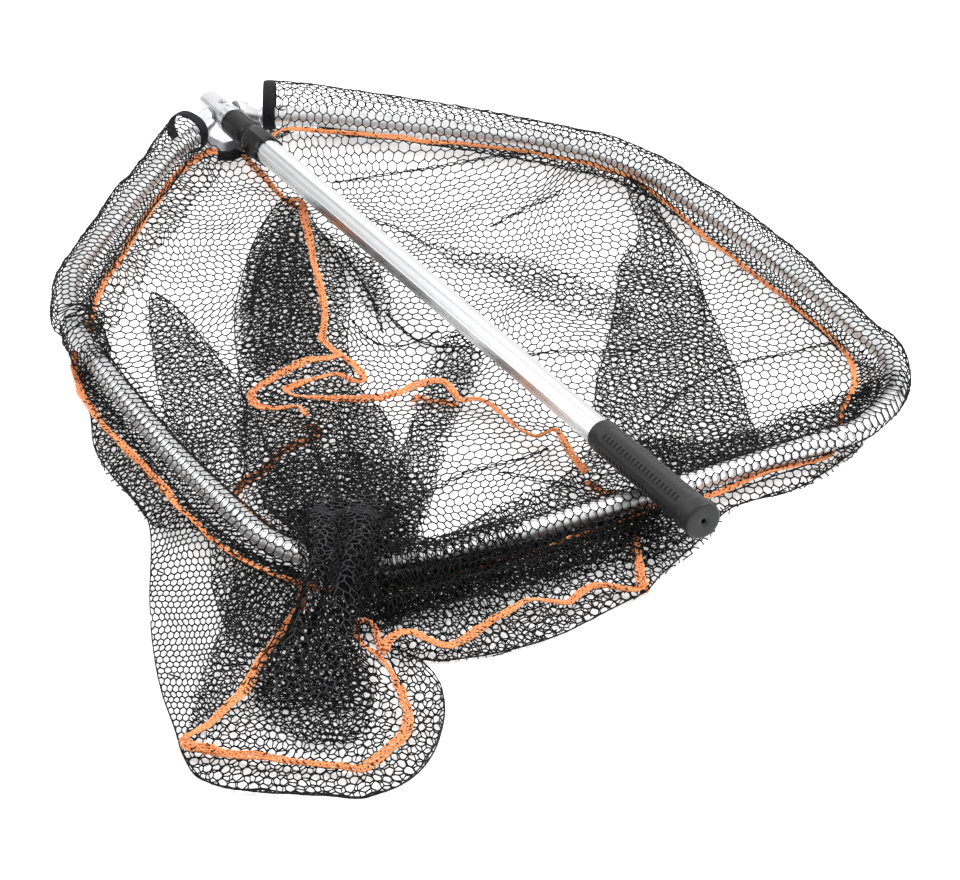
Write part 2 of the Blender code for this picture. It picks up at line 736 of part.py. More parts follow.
def build_net():
    prism("net_bag", BAG_OUTLINE, 0.0, BAG_T, "net")
    build_sleeves()
    build_binding_bands()
    # closes the bag's mouth on the +Y side of the yoke
    sweep("apex_hem_tape", at_height(APEX_HEM, 4.4), flat_section(7.5, 3.6), "black_tape")
    hem_ribbon("hem_ribbon_left", 1, 0.38, 0.48)
    hem_ribbon("hem_ribbon_right", -1, 0.70, 0.78)
    for name, control in SEAMS.items():
        ribbon(name, control)
    ribbon("base_ribbon", BASE_LOOP, width=8.0, closed=True)
    # the black end of the mouth tape, lying loose inside the hoop
    ribbon("tape_tail", TAPE_TAIL, width=6.0, mat="black_tape")


def hang_on_frame():
    """Parents every loose object to one empty that moves the pivot off the origin."""
    frame = add_empty("frame_offset", (0, -ORIGIN_Y, 0))
    for ob in list(bpy.data.objects):
        if ob is not frame and ob != frame and ob.parent is None:
            ob.parent = frame


def main():
    for ob in list(bpy.data.objects):
        bpy.data.objects.remove(ob, do_unlink=True)
    hoop = build_hoop()
    yoke = build_yoke()
    build_hoop_rivets(hoop, yoke)
    build_pivot()
    build_handle()
    build_net()
    hang_on_frame()


main()
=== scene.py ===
"""A folding landing net, laid on the ground with its handle stowed across the hoop.

Design sizes are millimetres from the fold pivot: +Y runs from the pivot to the far bar of the
hoop, +Z is up from the ground. world() turns them into metres in the frame. In the names of the
hoop's parts, left is the +X side and right is the -X side.
"""
import math

import bmesh
import bpy
import numpy as np
from mathutils import Matrix, Vector

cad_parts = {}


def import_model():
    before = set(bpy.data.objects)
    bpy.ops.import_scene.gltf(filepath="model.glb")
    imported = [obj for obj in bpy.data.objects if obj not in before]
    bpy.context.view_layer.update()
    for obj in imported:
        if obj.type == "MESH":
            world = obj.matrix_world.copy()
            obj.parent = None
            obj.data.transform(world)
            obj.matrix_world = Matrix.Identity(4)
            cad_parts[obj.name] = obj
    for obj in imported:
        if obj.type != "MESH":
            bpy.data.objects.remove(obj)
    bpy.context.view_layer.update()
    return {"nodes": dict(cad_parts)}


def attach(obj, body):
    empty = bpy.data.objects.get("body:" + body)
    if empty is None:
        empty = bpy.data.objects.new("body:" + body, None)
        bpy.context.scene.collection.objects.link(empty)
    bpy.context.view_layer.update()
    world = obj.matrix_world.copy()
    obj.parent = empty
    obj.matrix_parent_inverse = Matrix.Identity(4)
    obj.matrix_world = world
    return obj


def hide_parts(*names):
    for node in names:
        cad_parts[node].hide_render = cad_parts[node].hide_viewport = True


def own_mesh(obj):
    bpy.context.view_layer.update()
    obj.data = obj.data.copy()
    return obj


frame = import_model()

# ================================================================= driving sizes, mm
PIVOT_Y = 400.0                  # the pivot lies this far behind the frame's origin
PIVOT_Z = 23.7
HANDLE_SLOPE = 0.0285            # the stowed handle's rise per length
HOOP_Z = 20.0
TUBE_RADIUS = 8.8
CELL = 7.8                       # mesh width across flats
SIDE = CELL / math.sqrt(3.0)     # strand length
STRAND = 0.50                    # strand radius
DRAWN = (0.49, 0.872)            # the way in plan that the mesh is drawn out
MAX_EDGES = 9000                 # most strands in one object


# ================================================================= node helpers
def feed(tree, node, inputs):
    """Sets or links a node's inputs, by name or number."""
    for key, value in inputs.items():
        if isinstance(value, bpy.types.NodeSocket):
            tree.links.new(value, node.inputs[key])
        else:
            node.inputs[key].default_value = value


def add_node(tree, kind, inputs=None, **props):
    node = tree.nodes.new(kind)
    for key, value in props.items():
        setattr(node, key, value)
    feed(tree, node, inputs or {})
    return node


class Surface:
    """A material in the making, textured in object coordinates."""

    def __init__(self, name):
        self.material = bpy.data.materials.new(name)
        self.material.use_nodes = True
        self.tree = self.material.node_tree
        self.place = self.add("ShaderNodeTexCoord").outputs["Object"]

    def add(self, kind, inputs=None, **props):
        return add_node(self.tree, kind, inputs, **props)

    def noise(self, scale, detail, place=None):
        return self.add("ShaderNodeTexNoise", {
            "Scale": scale, "Detail": detail, "Roughness": 0.55,
            "Vector": self.place if place is None else place}).outputs["Fac"]

    def ramp(self, factor, *stops):
        """Colours at places along a factor."""
        node = self.add("ShaderNodeValToRGB", {"Fac": factor})
        elements = node.color_ramp.elements
        while len(elements) < len(stops):
            elements.new(0.5)
        for k, (position, colour) in enumerate(stops):
            elements[k].position = position
            elements[k].color = (*colour, 1)
        return node.outputs["Color"]

    def span(self, factor, low, high, start=0.3, end=0.7):
        """Maps start to end of a factor onto low to high."""
        return self.add("ShaderNodeMapRange", {
            "Value": factor, "From Min": start, "From Max": end,
            "To Min": low, "To Max": high}).outputs["Result"]

    def math(self, operation, a, b):
        return self.add("ShaderNodeMath", {0: a, 1: b}, operation=operation).outputs[0]

    def weighted(self, a, share, b):
        """A share of a, and the rest from b."""
        return self.math("ADD", self.math("MULTIPLY", a, share),
                         self.math("MULTIPLY", b, 1 - share))

    def bump(self, height, strength, distance):
        return self.add("ShaderNodeBump", {
            "Height": height, "Strength": strength, "Distance": distance}).outputs["Normal"]

    def finish(self, inputs):
        feed(self.tree, self.tree.nodes["Principled BSDF"], inputs)
        return self.material


def scaled(colour, factor, lift=0.0):
    return tuple(c * factor + lift for c in colour)


# ================================================================= materials
def drawn_aluminium(name, base, rough):
    """Drawn handle tube: crisp die lines that run along the stowed handle."""
    s = Surface(name)
    # squeeze the texture along the tube, so that the noise is drawn out into lines
    axes = ((1, 0, 0), (0, -HANDLE_SLOPE, 1), (0, 0.0015, 0))
    parts = [s.add("ShaderNodeVectorMath", {0: s.place, 1: axis},
                   operation="DOT_PRODUCT").outputs["Value"] for axis in axes]
    place = s.add("ShaderNodeCombineXYZ", dict(enumerate(parts))).outputs["Vector"]
    lines = s.noise(scale=330, detail=1, place=place)
    tone = s.weighted(lines, 0.9, s.noise(scale=9, detail=4))
    return s.finish({
        "Base Color": s.ramp(tone, (0.36, scaled(base, 0.74)), (0.58, base)),
        "Metallic": 1.0,
        "Roughness": s.span(lines, low=rough - 0.03, high=rough + 0.04, start=0.35, end=0.65),
        "Normal": s.bump(lines, strength=0.035, distance=0.0002)})


def hoop_aluminium(name, base, rough):
    """Anodised hoop tube: faint lines, slight cloudiness and a few rubs."""
    s = Surface(name)
    place = s.add("ShaderNodeMapping", {"Vector": s.place, "Scale": (1, 1, 0.25)})
    place = place.outputs["Vector"]
    fine = s.noise(scale=2200, detail=1, place=place)
    lines = s.noise(scale=330, detail=1, place=place)
    tone = s.weighted(lines, 0.6, s.noise(scale=9, detail=4))
    rubs = s.span(s.noise(scale=60, detail=6), low=0.0, high=0.03, start=0.52, end=0.68)
    return s.finish({
        "Base Color": s.ramp(tone, (0.36, scaled(base, 0.90)), (0.58, base)),
        "Metallic": 1.0,
        "Roughness": s.math("ADD", s.span(fine, low=rough - 0.015, high=rough + 0.02), rubs),
        "Normal": s.bump(lines, strength=0.035 * 0.3, distance=0.0002)})


def cast(name, base, rough):
    """Tumbled die casting: satin, with shallow orange peel and pores."""
    s = Surface(name)
    peel = s.noise(scale=520, detail=3)
    pores = s.noise(scale=1900, detail=2)
    cloud = s.noise(scale=34, detail=4)
    tone = s.weighted(peel, 0.4, cloud)
    height = s.math("ADD", peel, s.math("MULTIPLY", pores, 0.35))
    return s.finish({
        "Base Color": s.ramp(tone, (0.3, scaled(base, 0.80)), (0.66, base)),
        "Metallic": 0.92,
        "Roughness": s.span(cloud, low=rough - 0.06, high=rough + 0.10),
        "Normal": s.bump(height, strength=0.22, distance=0.0004)})


def plastic(name, base, rough, grain, specular):
    """Moulded plastic with a fine spark-eroded texture and rubbed patches."""
    s = Surface(name)
    cloud = s.noise(scale=26, detail=4)
    tone = s.weighted(cloud, 0.6, s.noise(scale=160, detail=5))
    return s.finish({
        "Base Color": s.ramp(tone, (0.34, base), (0.68, scaled(base, 1.5, lift=0.002))),
        "Roughness": s.span(cloud, low=rough - 0.05, high=rough + 0.09),
        "Specular IOR Level": specular,
        "Normal": s.bump(s.noise(scale=900, detail=2), strength=grain, distance=0.0002)})


def rubber(name, base, rough):
    """Matt rubber with fine grain and scuffs."""
    s = Surface(name)
    scuff = s.noise(scale=220, detail=6)
    tone = s.weighted(s.noise(scale=30, detail=5), 0.5, scuff)
    return s.finish({
        "Base Color": s.ramp(tone, (0.30, scaled(base, 0.82)), (0.56, base),
                             (0.72, scaled(base, 1.35))),
        "Roughness": s.span(scuff, low=rough - 0.06, high=rough + 0.08),
        "Specular IOR Level": 0.32,
        "Sheen Weight": 0.03,
        "Sheen Roughness": 0.5,
        "Normal": s.bump(s.noise(scale=1500, detail=3), strength=0.2, distance=0.00022)})


def yarn(name, dark, light, rough, scale=1400.0, sheen=0.0, specular=0.15):
    """Twisted or knitted thread: short light and dark flecks and a little fuzz."""
    s = Surface(name)
    fleck = s.noise(scale=scale, detail=2)
    tone = s.weighted(fleck, 0.65, s.noise(scale=24, detail=3))
    return s.finish({
        "Base Color": s.ramp(tone, (0.34, dark), (0.66, light)),
        "Roughness": rough,
        "Sheen Weight": sheen,
        "Sheen Roughness": 0.6,
        "Specular IOR Level": specular,
        "Normal": s.bump(fleck, strength=0.35, distance=0.0003)})


def floor_material():
    s = Surface("studio floor")
    return s.finish({
        "Base Color": s.ramp(s.noise(scale=3.0, detail=2),
                             (0.3, (0.88, 0.88, 0.885)), (0.7, (0.90, 0.90, 0.905))),
        "Roughness": 0.7,
        "Specular IOR Level": 0.2,
        "Emission Color": (1.0, 1.0, 1.0, 1),
        "Emission Strength": 0.42})


MAT = {
    "drawn_aluminium": drawn_aluminium("drawn aluminium", base=(0.86, 0.863, 0.872), rough=0.28),
    "hoop_aluminium": hoop_aluminium("hoop aluminium", base=(0.93, 0.932, 0.938), rough=0.46),
    "cast_aluminium": cast("cast aluminium", base=(0.76, 0.76, 0.775), rough=0.34),
    "steel": cast("plated steel", base=(0.62, 0.62, 0.63), rough=0.26),
    "black_plastic": plastic("black plastic", base=(0.005, 0.005, 0.0055), rough=0.26,
                             grain=0.08, specular=0.26),
    "seal_rubber": rubber("seal rubber", base=(0.015, 0.015, 0.016), rough=0.62),
    "grip_rubber": rubber("grip rubber", base=(0.016, 0.0162, 0.0175), rough=0.46),
    "grey_nylon": plastic("grey nylon", base=(0.16, 0.165, 0.17), rough=0.48,
                          grain=0.16, specular=0.32),
    "net_mesh": yarn("net mesh", dark=(0.003, 0.003, 0.0033), light=(0.009, 0.009, 0.010),
                     rough=0.55, specular=0.14),
    # a lighter copy of the net's colour for the top sheet of the bunch: painted light, as if its
    # strands caught the light over the darker sheets below
    "net_mesh_painted_light": yarn("net mesh painted lighter on top", dark=(0.014, 0.014, 0.016),
                         light=(0.034, 0.034, 0.038), rough=0.45, specular=0.25),
    "black_tape": yarn("black tape", dark=(0.004, 0.004, 0.005), light=(0.013, 0.013, 0.015),
                       rough=0.75, scale=900.0, sheen=0.05),
    "orange_tape": yarn("orange tape", dark=(0.74, 0.20, 0.060), light=(1.0, 0.43, 0.165),
                        rough=0.72, scale=700.0, sheen=0.12),
}


# ================================================================= mesh helpers
def world(points):
    """Millimetres from the fold pivot to metres in the frame."""
    return (np.asarray(points, float) - np.array([0.0, PIVOT_Y, 0.0])) / 1000.0


def place_object(name, data):
    ob = bpy.data.objects.new(name, data)
    bpy.context.scene.collection.objects.link(ob)
    return ob


def add_mesh(name, points, faces, slot, body="net_frame", finish=None):
    """A smooth mesh from points in mm. The finish is the slot's own unless it is given."""
    mesh = bpy.data.meshes.new(name)
    mesh.from_pydata([tuple(c) for c in world(points)], [], faces)
    mesh.validate()
    mesh.shade_smooth()
    mesh.materials.append(MAT[finish or slot])
    ob = place_object(name, mesh)
    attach(ob, body)
    return ob


def smooth_edges_group(angle=math.radians(32)):
    """Smooth shading that keeps edges sharper than the angle."""
    tree = bpy.data.node_groups.new("smooth edges", "GeometryNodeTree")
    for way in ("INPUT", "OUTPUT"):
        tree.interface.new_socket("Geometry", in_out=way, socket_type="NodeSocketGeometry")
    source = add_node(tree, "NodeGroupInput")
    bend = add_node(tree, "GeometryNodeInputMeshEdgeAngle")
    gentle = add_node(tree, "FunctionNodeCompare", {0: bend.outputs[0], 1: angle},
                      data_type="FLOAT", operation="LESS_EQUAL")
    faces = add_node(tree, "GeometryNodeSetShadeSmooth", {"Geometry": source.outputs[0]},
                     domain="FACE")
    edges = add_node(tree, "GeometryNodeSetShadeSmooth",
                     {"Geometry": faces.outputs[0], "Shade Smooth": gentle.outputs[0]},
                     domain="EDGE")
    add_node(tree, "NodeGroupOutput", {0: edges.outputs[0]})
    return tree


SMOOTH_EDGES = smooth_edges_group()


def smooth_by_angle(ob):
    ob.modifiers.new("smooth edges", "NODES").node_group = SMOOTH_EDGES


# ================================================================= curves and noise
def curve_through(rows, u):
    """Smooth cubic through rows [u, x, y, z], with its tangents limited, read at u."""
    rows = np.asarray(rows, float)
    knots, values = rows[:, 0], rows[:, 1:]
    slopes = (values[1:] - values[:-1]) / (knots[1:] - knots[:-1])[:, None]
    tangents = np.zeros_like(values)
    middle = (slopes[1:] + slopes[:-1]) / 2
    limit = 3 * np.minimum(np.abs(slopes[1:]), np.abs(slopes[:-1]))
    size = np.abs(middle)
    tangents[1:-1] = np.sign(middle) * np.minimum(size, np.maximum(limit, 0.35 * size))
    tangents[0], tangents[-1] = slopes[0], slopes[-1]
    i = np.clip(np.searchsorted(knots, u, side="right") - 1, 0, len(knots) - 2)
    gap = knots[i + 1] - knots[i]
    t = ((u - knots[i]) / gap)[:, None]
    gap = gap[:, None]
    return ((2 * t ** 3 - 3 * t ** 2 + 1) * values[i]
            + (t ** 3 - 2 * t ** 2 + t) * gap * tangents[i]
            + (-2 * t ** 3 + 3 * t ** 2) * values[i + 1]
            + (t ** 3 - t ** 2) * gap * tangents[i + 1])


def lengths_along(points):
    return np.r_[0, np.cumsum(np.linalg.norm(np.diff(points, axis=0), axis=1))]


def resample(points, step):
    points = np.asarray(points, float)
    lengths = lengths_along(points)
    count = max(2, int(round(lengths[-1] / step)) + 1)
    even = np.linspace(0, lengths[-1], count)
    return np.stack([np.interp(even, lengths, column) for column in points.T], 1)


def smooth_path(points, step=3.0, closed=False):
    """Catmull-Rom curve through points."""
    p = np.asarray(points, float)
    n = len(p)
    out = []
    for i in range(n if closed else n - 1):
        if closed:
            a, b, c, d = (p[(i + k) % n] for k in (-1, 0, 1, 2))
        else:
            a, b, c, d = p[max(i - 1, 0)], p[i], p[i + 1], p[min(i + 2, n - 1)]
        count = max(2, int(np.linalg.norm(c - b) / step))
        t = (np.arange(count) / count)[:, None]
        out.append(0.5 * ((2 * b) + (c - a) * t + (2 * a - 5 * b + 4 * c - d) * t ** 2
                          + (3 * b - a - 3 * c + d) * t ** 3))
    if not closed:
        out.append(p[-1:])
    return np.concatenate(out)


def round_corners(points, radii):
    """A plan path whose inner corners are arcs."""
    path = [np.array(points[0], float)]
    for k, radius in enumerate(radii, 1):
        corner, before, after = (np.array(points[k + step], float) for step in (0, -1, 1))
        back, ahead = before - corner, after - corner
        back_length, ahead_length = np.linalg.norm(back), np.linalg.norm(ahead)
        back, ahead = back / back_length, ahead / ahead_length
        half = math.acos(float(back @ ahead)) / 2
        cut = min(radius / math.tan(half), 0.48 * back_length, 0.48 * ahead_length)
        r = cut * math.tan(half)
        middle = back + ahead
        centre = corner + middle / np.linalg.norm(middle) * (r / math.sin(half))
        start, end = corner + back * cut - centre, corner + ahead * cut - centre
        turn = math.acos(np.clip(float(start @ end) / (r * r), -1, 1))
        for share in np.linspace(0, 1, max(4, int(turn * r / 4.0))):
            path.append(centre + start * (math.sin((1 - share) * turn) / math.sin(turn))
                        + end * (math.sin(share * turn) / math.sin(turn)))
    path.append(np.array(points[-1], float))
    return np.array(path)


def noise2(u, v, cells_u, cells_v, seed):
    """Smooth noise over shares u and v, about -1 to 1."""
    grid = np.random.default_rng(seed).uniform(-1, 1, (cells_u + 3, cells_v + 3))
    a, b = u * cells_u, v * cells_v
    i = np.clip(np.floor(a).astype(int), 0, cells_u)
    j = np.clip(np.floor(b).astype(int), 0, cells_v)
    x, y = a - i, b - j
    x, y = x * x * (3 - 2 * x), y * y * (3 - 2 * y)
    return (grid[i, j] * (1 - x) * (1 - y) + grid[i + 1, j] * x * (1 - y)
            + grid[i, j + 1] * (1 - x) * y + grid[i + 1, j + 1] * x * y)


def wander(share, length, wave, seed, fewest=4):
    """Smooth noise along a line, with a given wave length."""
    return noise2(share, share * 0, max(fewest, int(length / wave)), 1, seed)


def field(x, y, wave, seed):
    """Smooth noise over the plan, about -1 to 1, from x = -420 and y = -120."""
    width, depth = 960, 1200
    return noise2((x + 420) / width, (y + 120) / depth,
                  int(width / wave), int(depth / wave), seed)


def smoothstep(x, low, high):
    t = np.clip((x - low) / (high - low), 0, 1)
    return t * t * (3 - 2 * t)


# ================================================================= hoop centreline, in plan
# +X half of the hoop: corners from the pivot to the middle of the far bar, and corner radii
HALF = round_corners(
    [(0, 0), (76, 42), (286.6, 232.2), (308.5, 494.4), (296.5, 758.5), (0, 762.3)],
    radii=(190.0, 219.8, 1500.0, 118.0))
# from the pivot along the +X side, the far bar and the -X side, back to the pivot
HOOP_ALL = resample(np.r_[HALF, (HALF * [-1, 1])[::-1][1:]], step=2.0)
HOOP = HOOP_ALL[(np.abs(HOOP_ALL[:, 0]) >= 36.0) | (HOOP_ALL[:, 1] > 300)]

# a plan grid that holds the nearest point of the centreline
GRID_X, GRID_Y, GRID_STEP = -360.0, -60.0, 3.0
grid = np.stack(np.meshgrid(np.arange(GRID_X, 520, GRID_STEP),
                            np.arange(GRID_Y, 1040, GRID_STEP), indexing="ij"), -1)
coarse = HOOP[::3]
NEAREST = np.array([coarse[((row[:, None] - coarse) ** 2).sum(2).argmin(1)] for row in grid])


def near_hoop(p):
    i = np.clip(((p[:, 0] - GRID_X) / GRID_STEP + 0.5).astype(int), 0, NEAREST.shape[0] - 1)
    j = np.clip(((p[:, 1] - GRID_Y) / GRID_STEP + 0.5).astype(int), 0, NEAREST.shape[1] - 1)
    return NEAREST[i, j]


def push_off_tube(p, radius):
    away = p - np.c_[near_hoop(p), np.full(len(p), HOOP_Z)]
    distance = np.linalg.norm(away, axis=1)
    grow = (radius / np.maximum(distance, 1e-6))[:, None]
    return np.where((distance < radius)[:, None], p - away + away * grow, p)


def under_handle(p):
    """Heights of points, kept below the stowed handle."""
    axis_z = PIVOT_Z + HANDLE_SLOPE * p[:, 1]
    radius = np.where(p[:, 1] > 675, 17.4, np.where(p[:, 1] < 112, 16.2, 14.2))
    off = np.abs(p[:, 0])
    drop = np.sqrt(np.maximum(radius * radius - off * off, 0.0)) * 0.98
    return np.where((off < radius) & (p[:, 1] < 872), axis_z - drop, 1e3)


# ================================================================= hem of the mouth
# where the hem tape lies (x, y, z), from the pivot round by the +X side
HEM_POINTS = np.array([
    (18, 54, 9), (36, 46, 12), (61, 55, 12), (137, 124, 12), (196, 186, 12), (234, 225, 11),
    (277, 285, 8), (300, 312, 6), (312, 343, 6), (326, 390, 11), (332, 446, 13), (332, 520, 13),
    (334, 616, 13), (324, 680, 13), (302, 733, 13), (262, 768, 13), (200, 781, 13),
    (144, 781, 13), (100, 782, 13), (47, 777, 13), (-12, 774, 13), (-50, 778, 13),
    (-89, 772, 13), (-139, 768, 12), (-180, 762, 7), (-206, 738, 5), (-224, 712, 8),
    (-256, 683, 13), (-279, 622, 14), (-280, 560, 14), (-281, 493, 14), (-278, 420, 14),
    (-279, 350, 15), (-277, 290, 16), (-260, 249, 16), (-237, 215, 16), (-197, 175, 16),
    (-125, 112, 17), (-67, 63, 17), (-36, 43, 15), (-18, 54, 9)], float)
hem_lengths = lengths_along(HEM_POINTS[:, :2])
HEM = np.c_[hem_lengths / hem_lengths[-1], HEM_POINTS]       # share of length, x, y, z
HEM_LINE = curve_through(HEM, np.linspace(0, 1, 500))


def rise(x, y):
    """How far the net rises towards the hem."""
    line = HEM_LINE[::3]
    d = np.sqrt(((np.stack([x, y], 1)[:, None] - line[None, :, :2]) ** 2).sum(2))
    k = d.argmin(1)
    return (line[k, 2] - 4.0) * np.exp(-(d[np.arange(len(x)), k] / 26.0) ** 1.3)


# ================================================================= honeycomb mesh
class Honeycomb:
    """Nodes of a sheet of hexagonal mesh, on a brick grid."""

    def __init__(self, count_i, count_j, side=SIDE):
        self.counts = count_i, count_j
        i, j = np.meshgrid(np.arange(count_i), np.arange(count_j), indexing="ij")
        self.i, self.j = i.ravel(), j.ravel()
        self.even = (self.i + self.j) % 2 == 0
        self.sway = np.where(self.even, 1.0, -1.0)
        self.s = self.i * side * math.sqrt(3) / 2
        self.t = 1.5 * side * self.j + side / 4 * self.sway

    def links(self, step_i, step_j, which=True):
        """Pairs of nodes a step apart."""
        count_i, count_j = self.counts
        fits = (self.i + step_i < count_i) & (self.j + step_j < count_j) & which
        first = (self.i * count_j + self.j)[fits]
        return np.stack([first, first + step_i * count_j + step_j], 1)

    def edges(self):
        return np.concatenate([self.links(1, 0), self.links(0, 1, self.even)])

    def edges_by_turns(self):
        """The same strands, with every second one along i listed first."""
        return np.concatenate([self.links(1, 0, self.i % 2 == 0),
                               self.links(1, 0, self.i % 2 == 1),
                               self.links(0, 1, self.even)])


def strands(name, points, edges, radius, knot, slot, finish=None):
    """Every strand as a thin square bar that swells, or narrows, to its two knots."""
    start = points[edges[:, 0]]
    run = points[edges[:, 1]] - start
    t = run / np.maximum(np.linalg.norm(run, axis=1, keepdims=True), 1e-6)
    ref = np.where(np.abs(t[:, 2:3]) < 0.9, np.array([[0.0, 0, 1]]), np.array([[1.0, 0, 0]]))
    across = np.cross(t, ref)
    across /= np.linalg.norm(across, axis=1, keepdims=True)
    up = np.cross(t, across)
    ring = []
    for share, r in ((-0.03, knot), (0.5, radius), (1.03, knot)):
        for k in range(4):
            q = 2 * math.pi * (k + 0.5) / 4
            ring.append(start + run * share + (across * math.cos(q) + up * math.sin(q)) * r)
    vertices = world(np.stack(ring, 1).reshape(-1, 3)).astype(np.float32)
    bar = [(i * 4 + k, i * 4 + (k + 1) % 4, i * 4 + 4 + (k + 1) % 4, i * 4 + 4 + k)
           for i in range(2) for k in range(4)]
    bar = np.array(bar + [(3, 2, 1, 0), (8, 9, 10, 11)])
    faces = (bar[None] + (np.arange(len(start)) * 12)[:, None, None]).reshape(-1, 4)
    mesh = bpy.data.meshes.new(name)
    mesh.vertices.add(len(vertices))
    mesh.vertices.foreach_set("co", vertices.ravel())
    mesh.loops.add(len(faces) * 4)
    mesh.loops.foreach_set("vertex_index", faces.astype(np.int32).ravel())
    mesh.polygons.add(len(faces))
    mesh.polygons.foreach_set("loop_start", np.arange(0, len(faces) * 4, 4, dtype=np.int32))
    mesh.update(calc_edges=True)
    mesh.shade_smooth()
    mesh.materials.append(MAT[finish or slot])
    ob = place_object(name, mesh)
    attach(ob, "net_frame")
    return ob


def compact(edges):
    """The points that edges use, and the edges numbered by them."""
    used, places = np.unique(edges, return_inverse=True)
    return used, places.reshape(edges.shape)


def net_pieces(name, points, edges, radius, knot, finish="net_mesh"):
    """A part of the net, in as many objects as its number of strands asks for."""
    count = int(math.ceil(len(edges) / MAX_EDGES))
    made = []
    for k, part in enumerate(np.array_split(edges, count), 1):
        used, part = compact(part)
        part_name = name if count == 1 else "%s_%d" % (name, k)
        made.append(strands(part_name, points[used], part, radius, knot, "net_mesh", finish))
    return made


# ================================================================= outlines of the bag's layers
# plan points (x, y)
RIGHT_FOLD = [
    (-264, 291), (-237, 360), (-197, 394), (-158, 450), (-106, 521), (-66, 572), (-43, 620),
    (-43, 684), (-56, 744), (-91, 737), (-130, 727), (-153, 680), (-184, 612), (-207, 547),
    (-232, 471), (-257, 381), (-278, 308), (-280, 287)]
RIGHT_BAND = [
    (-69, 278), (-91, 307), (-123, 341), (-144, 377), (-161, 418), (-167, 456), (-144, 495),
    (-124, 464), (-106, 426), (-87, 387), (-74, 339), (-66, 306)]
LEFT_BAND = [
    (196, 246), (187, 257), (185, 298), (191, 358), (196, 409), (205, 450), (233, 505),
    (265, 560), (293, 589), (286, 534), (279, 483), (271, 429), (255, 381), (229, 318)]
MIDDLE = [
    (233, 505), (206, 446), (173, 368), (143, 306), (109, 253), (77, 209), (48, 176), (15, 147),
    (1, 161), (10, 209), (22, 274), (46, 338), (81, 399), (106, 462), (112, 525), (131, 579),
    (165, 633), (198, 685), (236, 695), (271, 676), (280, 626), (267, 568)]
MIDDLE_NEAR = [
    (124, 298), (84, 242), (47, 216), (40, 241), (63, 311), (105, 397), (135, 414), (181, 433),
    (179, 405), (156, 350)]
MIDDLE_FAR = [
    (201, 450), (164, 470), (127, 481), (124, 530), (141, 585), (181, 644), (224, 690),
    (259, 670), (270, 621), (253, 551)]
MIDDLE_CORE = [
    (62, 200), (29, 175), (36, 224), (73, 328), (107, 408), (134, 412), (157, 410), (172, 392),
    (140, 311), (99, 242)]
STRIP = [
    (10, 208), (6, 235), (3, 261), (0, 288), (7, 325), (25, 368), (36, 374), (35, 339),
    (29, 297), (22, 255)]
TWIST = [
    (6, 440), (-17, 462), (7, 498), (48, 540), (90, 588), (147, 664), (198, 719), (229, 703),
    (181, 654), (139, 601), (99, 545), (67, 503), (33, 464)]
BAR_INSIDE = [
    (269, 672), (229, 682), (186, 688), (166, 720), (97, 696), (33, 684), (-6, 658), (-26, 647),
    (-37, 681), (-30, 715), (23, 732), (103, 740), (188, 742), (260, 706)]
BAR_INSIDE_RIGHT = [
    (-54, 666), (-95, 696), (-143, 697), (-197, 690), (-245, 697), (-229, 722), (-164, 727),
    (-98, 731), (-56, 744)]
LEFT_INSIDE = [
    (41, 45), (32, 68), (75, 105), (135, 158), (172, 196), (200, 238), (204, 223), (230, 261),
    (265, 317), (269, 396), (264, 466), (277, 535), (280, 622), (294, 614), (288, 511),
    (284, 407), (274, 316), (267, 277), (184, 160), (112, 94), (45, 38)]
NECK = [
    (253, 574), (210, 559), (168, 567), (142, 603), (143, 653), (174, 706), (214, 746),
    (243, 757), (286, 733), (289, 697), (284, 645)]
COVER = [
    (273, 745), (244, 748), (212, 753), (178, 757), (140, 759), (122, 766), (127, 785),
    (156, 800), (194, 806), (233, 808), (270, 810), (296, 802)]
COVER_CORE = [
    (274, 751), (241, 756), (208, 763), (175, 772), (170, 789), (212, 802), (255, 809),
    (293, 804)]
THROWN_FREE_EDGE = [
    (314, 348), (331, 408), (349, 454), (355, 496), (357, 539), (364, 590), (409, 682),
    (438, 748), (457, 801), (472, 855), (482, 890), (484, 923), (464, 950), (428, 977),
    (394, 1001), (377, 1004), (355, 1003), (327, 988), (298, 959), (275, 925), (265, 896),
    (264, 868), (269, 854), (248, 869), (217, 878), (176, 884), (127, 878), (85, 869),
    (57, 862), (34, 846), (-20, 818), (-69, 793), (-133, 791), (-198, 766), (-221, 749)]
# the free edge, closed along the hem
THROWN_OUT = THROWN_FREE_EDGE + [
    tuple(q[:2]) for q in curve_through(HEM, np.linspace(0.645, 0.20, 26))]
THROWN_FOLD = [
    (314, 348), (331, 408), (347, 455), (353, 497), (357, 543), (360, 594), (334, 630),
    (364, 707), (375, 774), (338, 787), (304, 740), (290, 711), (313, 668), (321, 595),
    (319, 498), (310, 402)]
LOBE = [
    (342, 699), (391, 763), (442, 830), (474, 877), (452, 859), (406, 834), (369, 799),
    (330, 772), (294, 734), (297, 708), (306, 677), (315, 646)]
RIM = [
    (477, 877), (482, 897), (484, 925), (465, 951), (429, 979), (394, 1002), (378, 1005),
    (356, 1004), (328, 989), (299, 960), (276, 926), (266, 897), (265, 869), (270, 851),
    (279, 834), (288, 868), (301, 904), (312, 933), (325, 950), (344, 961), (374, 972),
    (410, 943), (445, 911)]
DARK = [
    (250, 706), (198, 745), (107, 747), (29, 741), (-8, 744), (-40, 770), (-27, 807), (32, 826),
    (73, 817), (127, 814), (180, 811), (233, 808), (271, 803), (278, 758)]
UNDER_DARK = [
    (270, 802), (230, 802), (178, 808), (125, 810), (71, 813), (28, 820), (-28, 805),
    (-71, 790), (-137, 785), (-220, 750), (-198, 767), (-132, 793), (-68, 794), (-19, 820),
    (35, 848), (58, 864), (86, 870), (128, 880), (177, 885), (218, 879), (249, 870), (269, 855)]
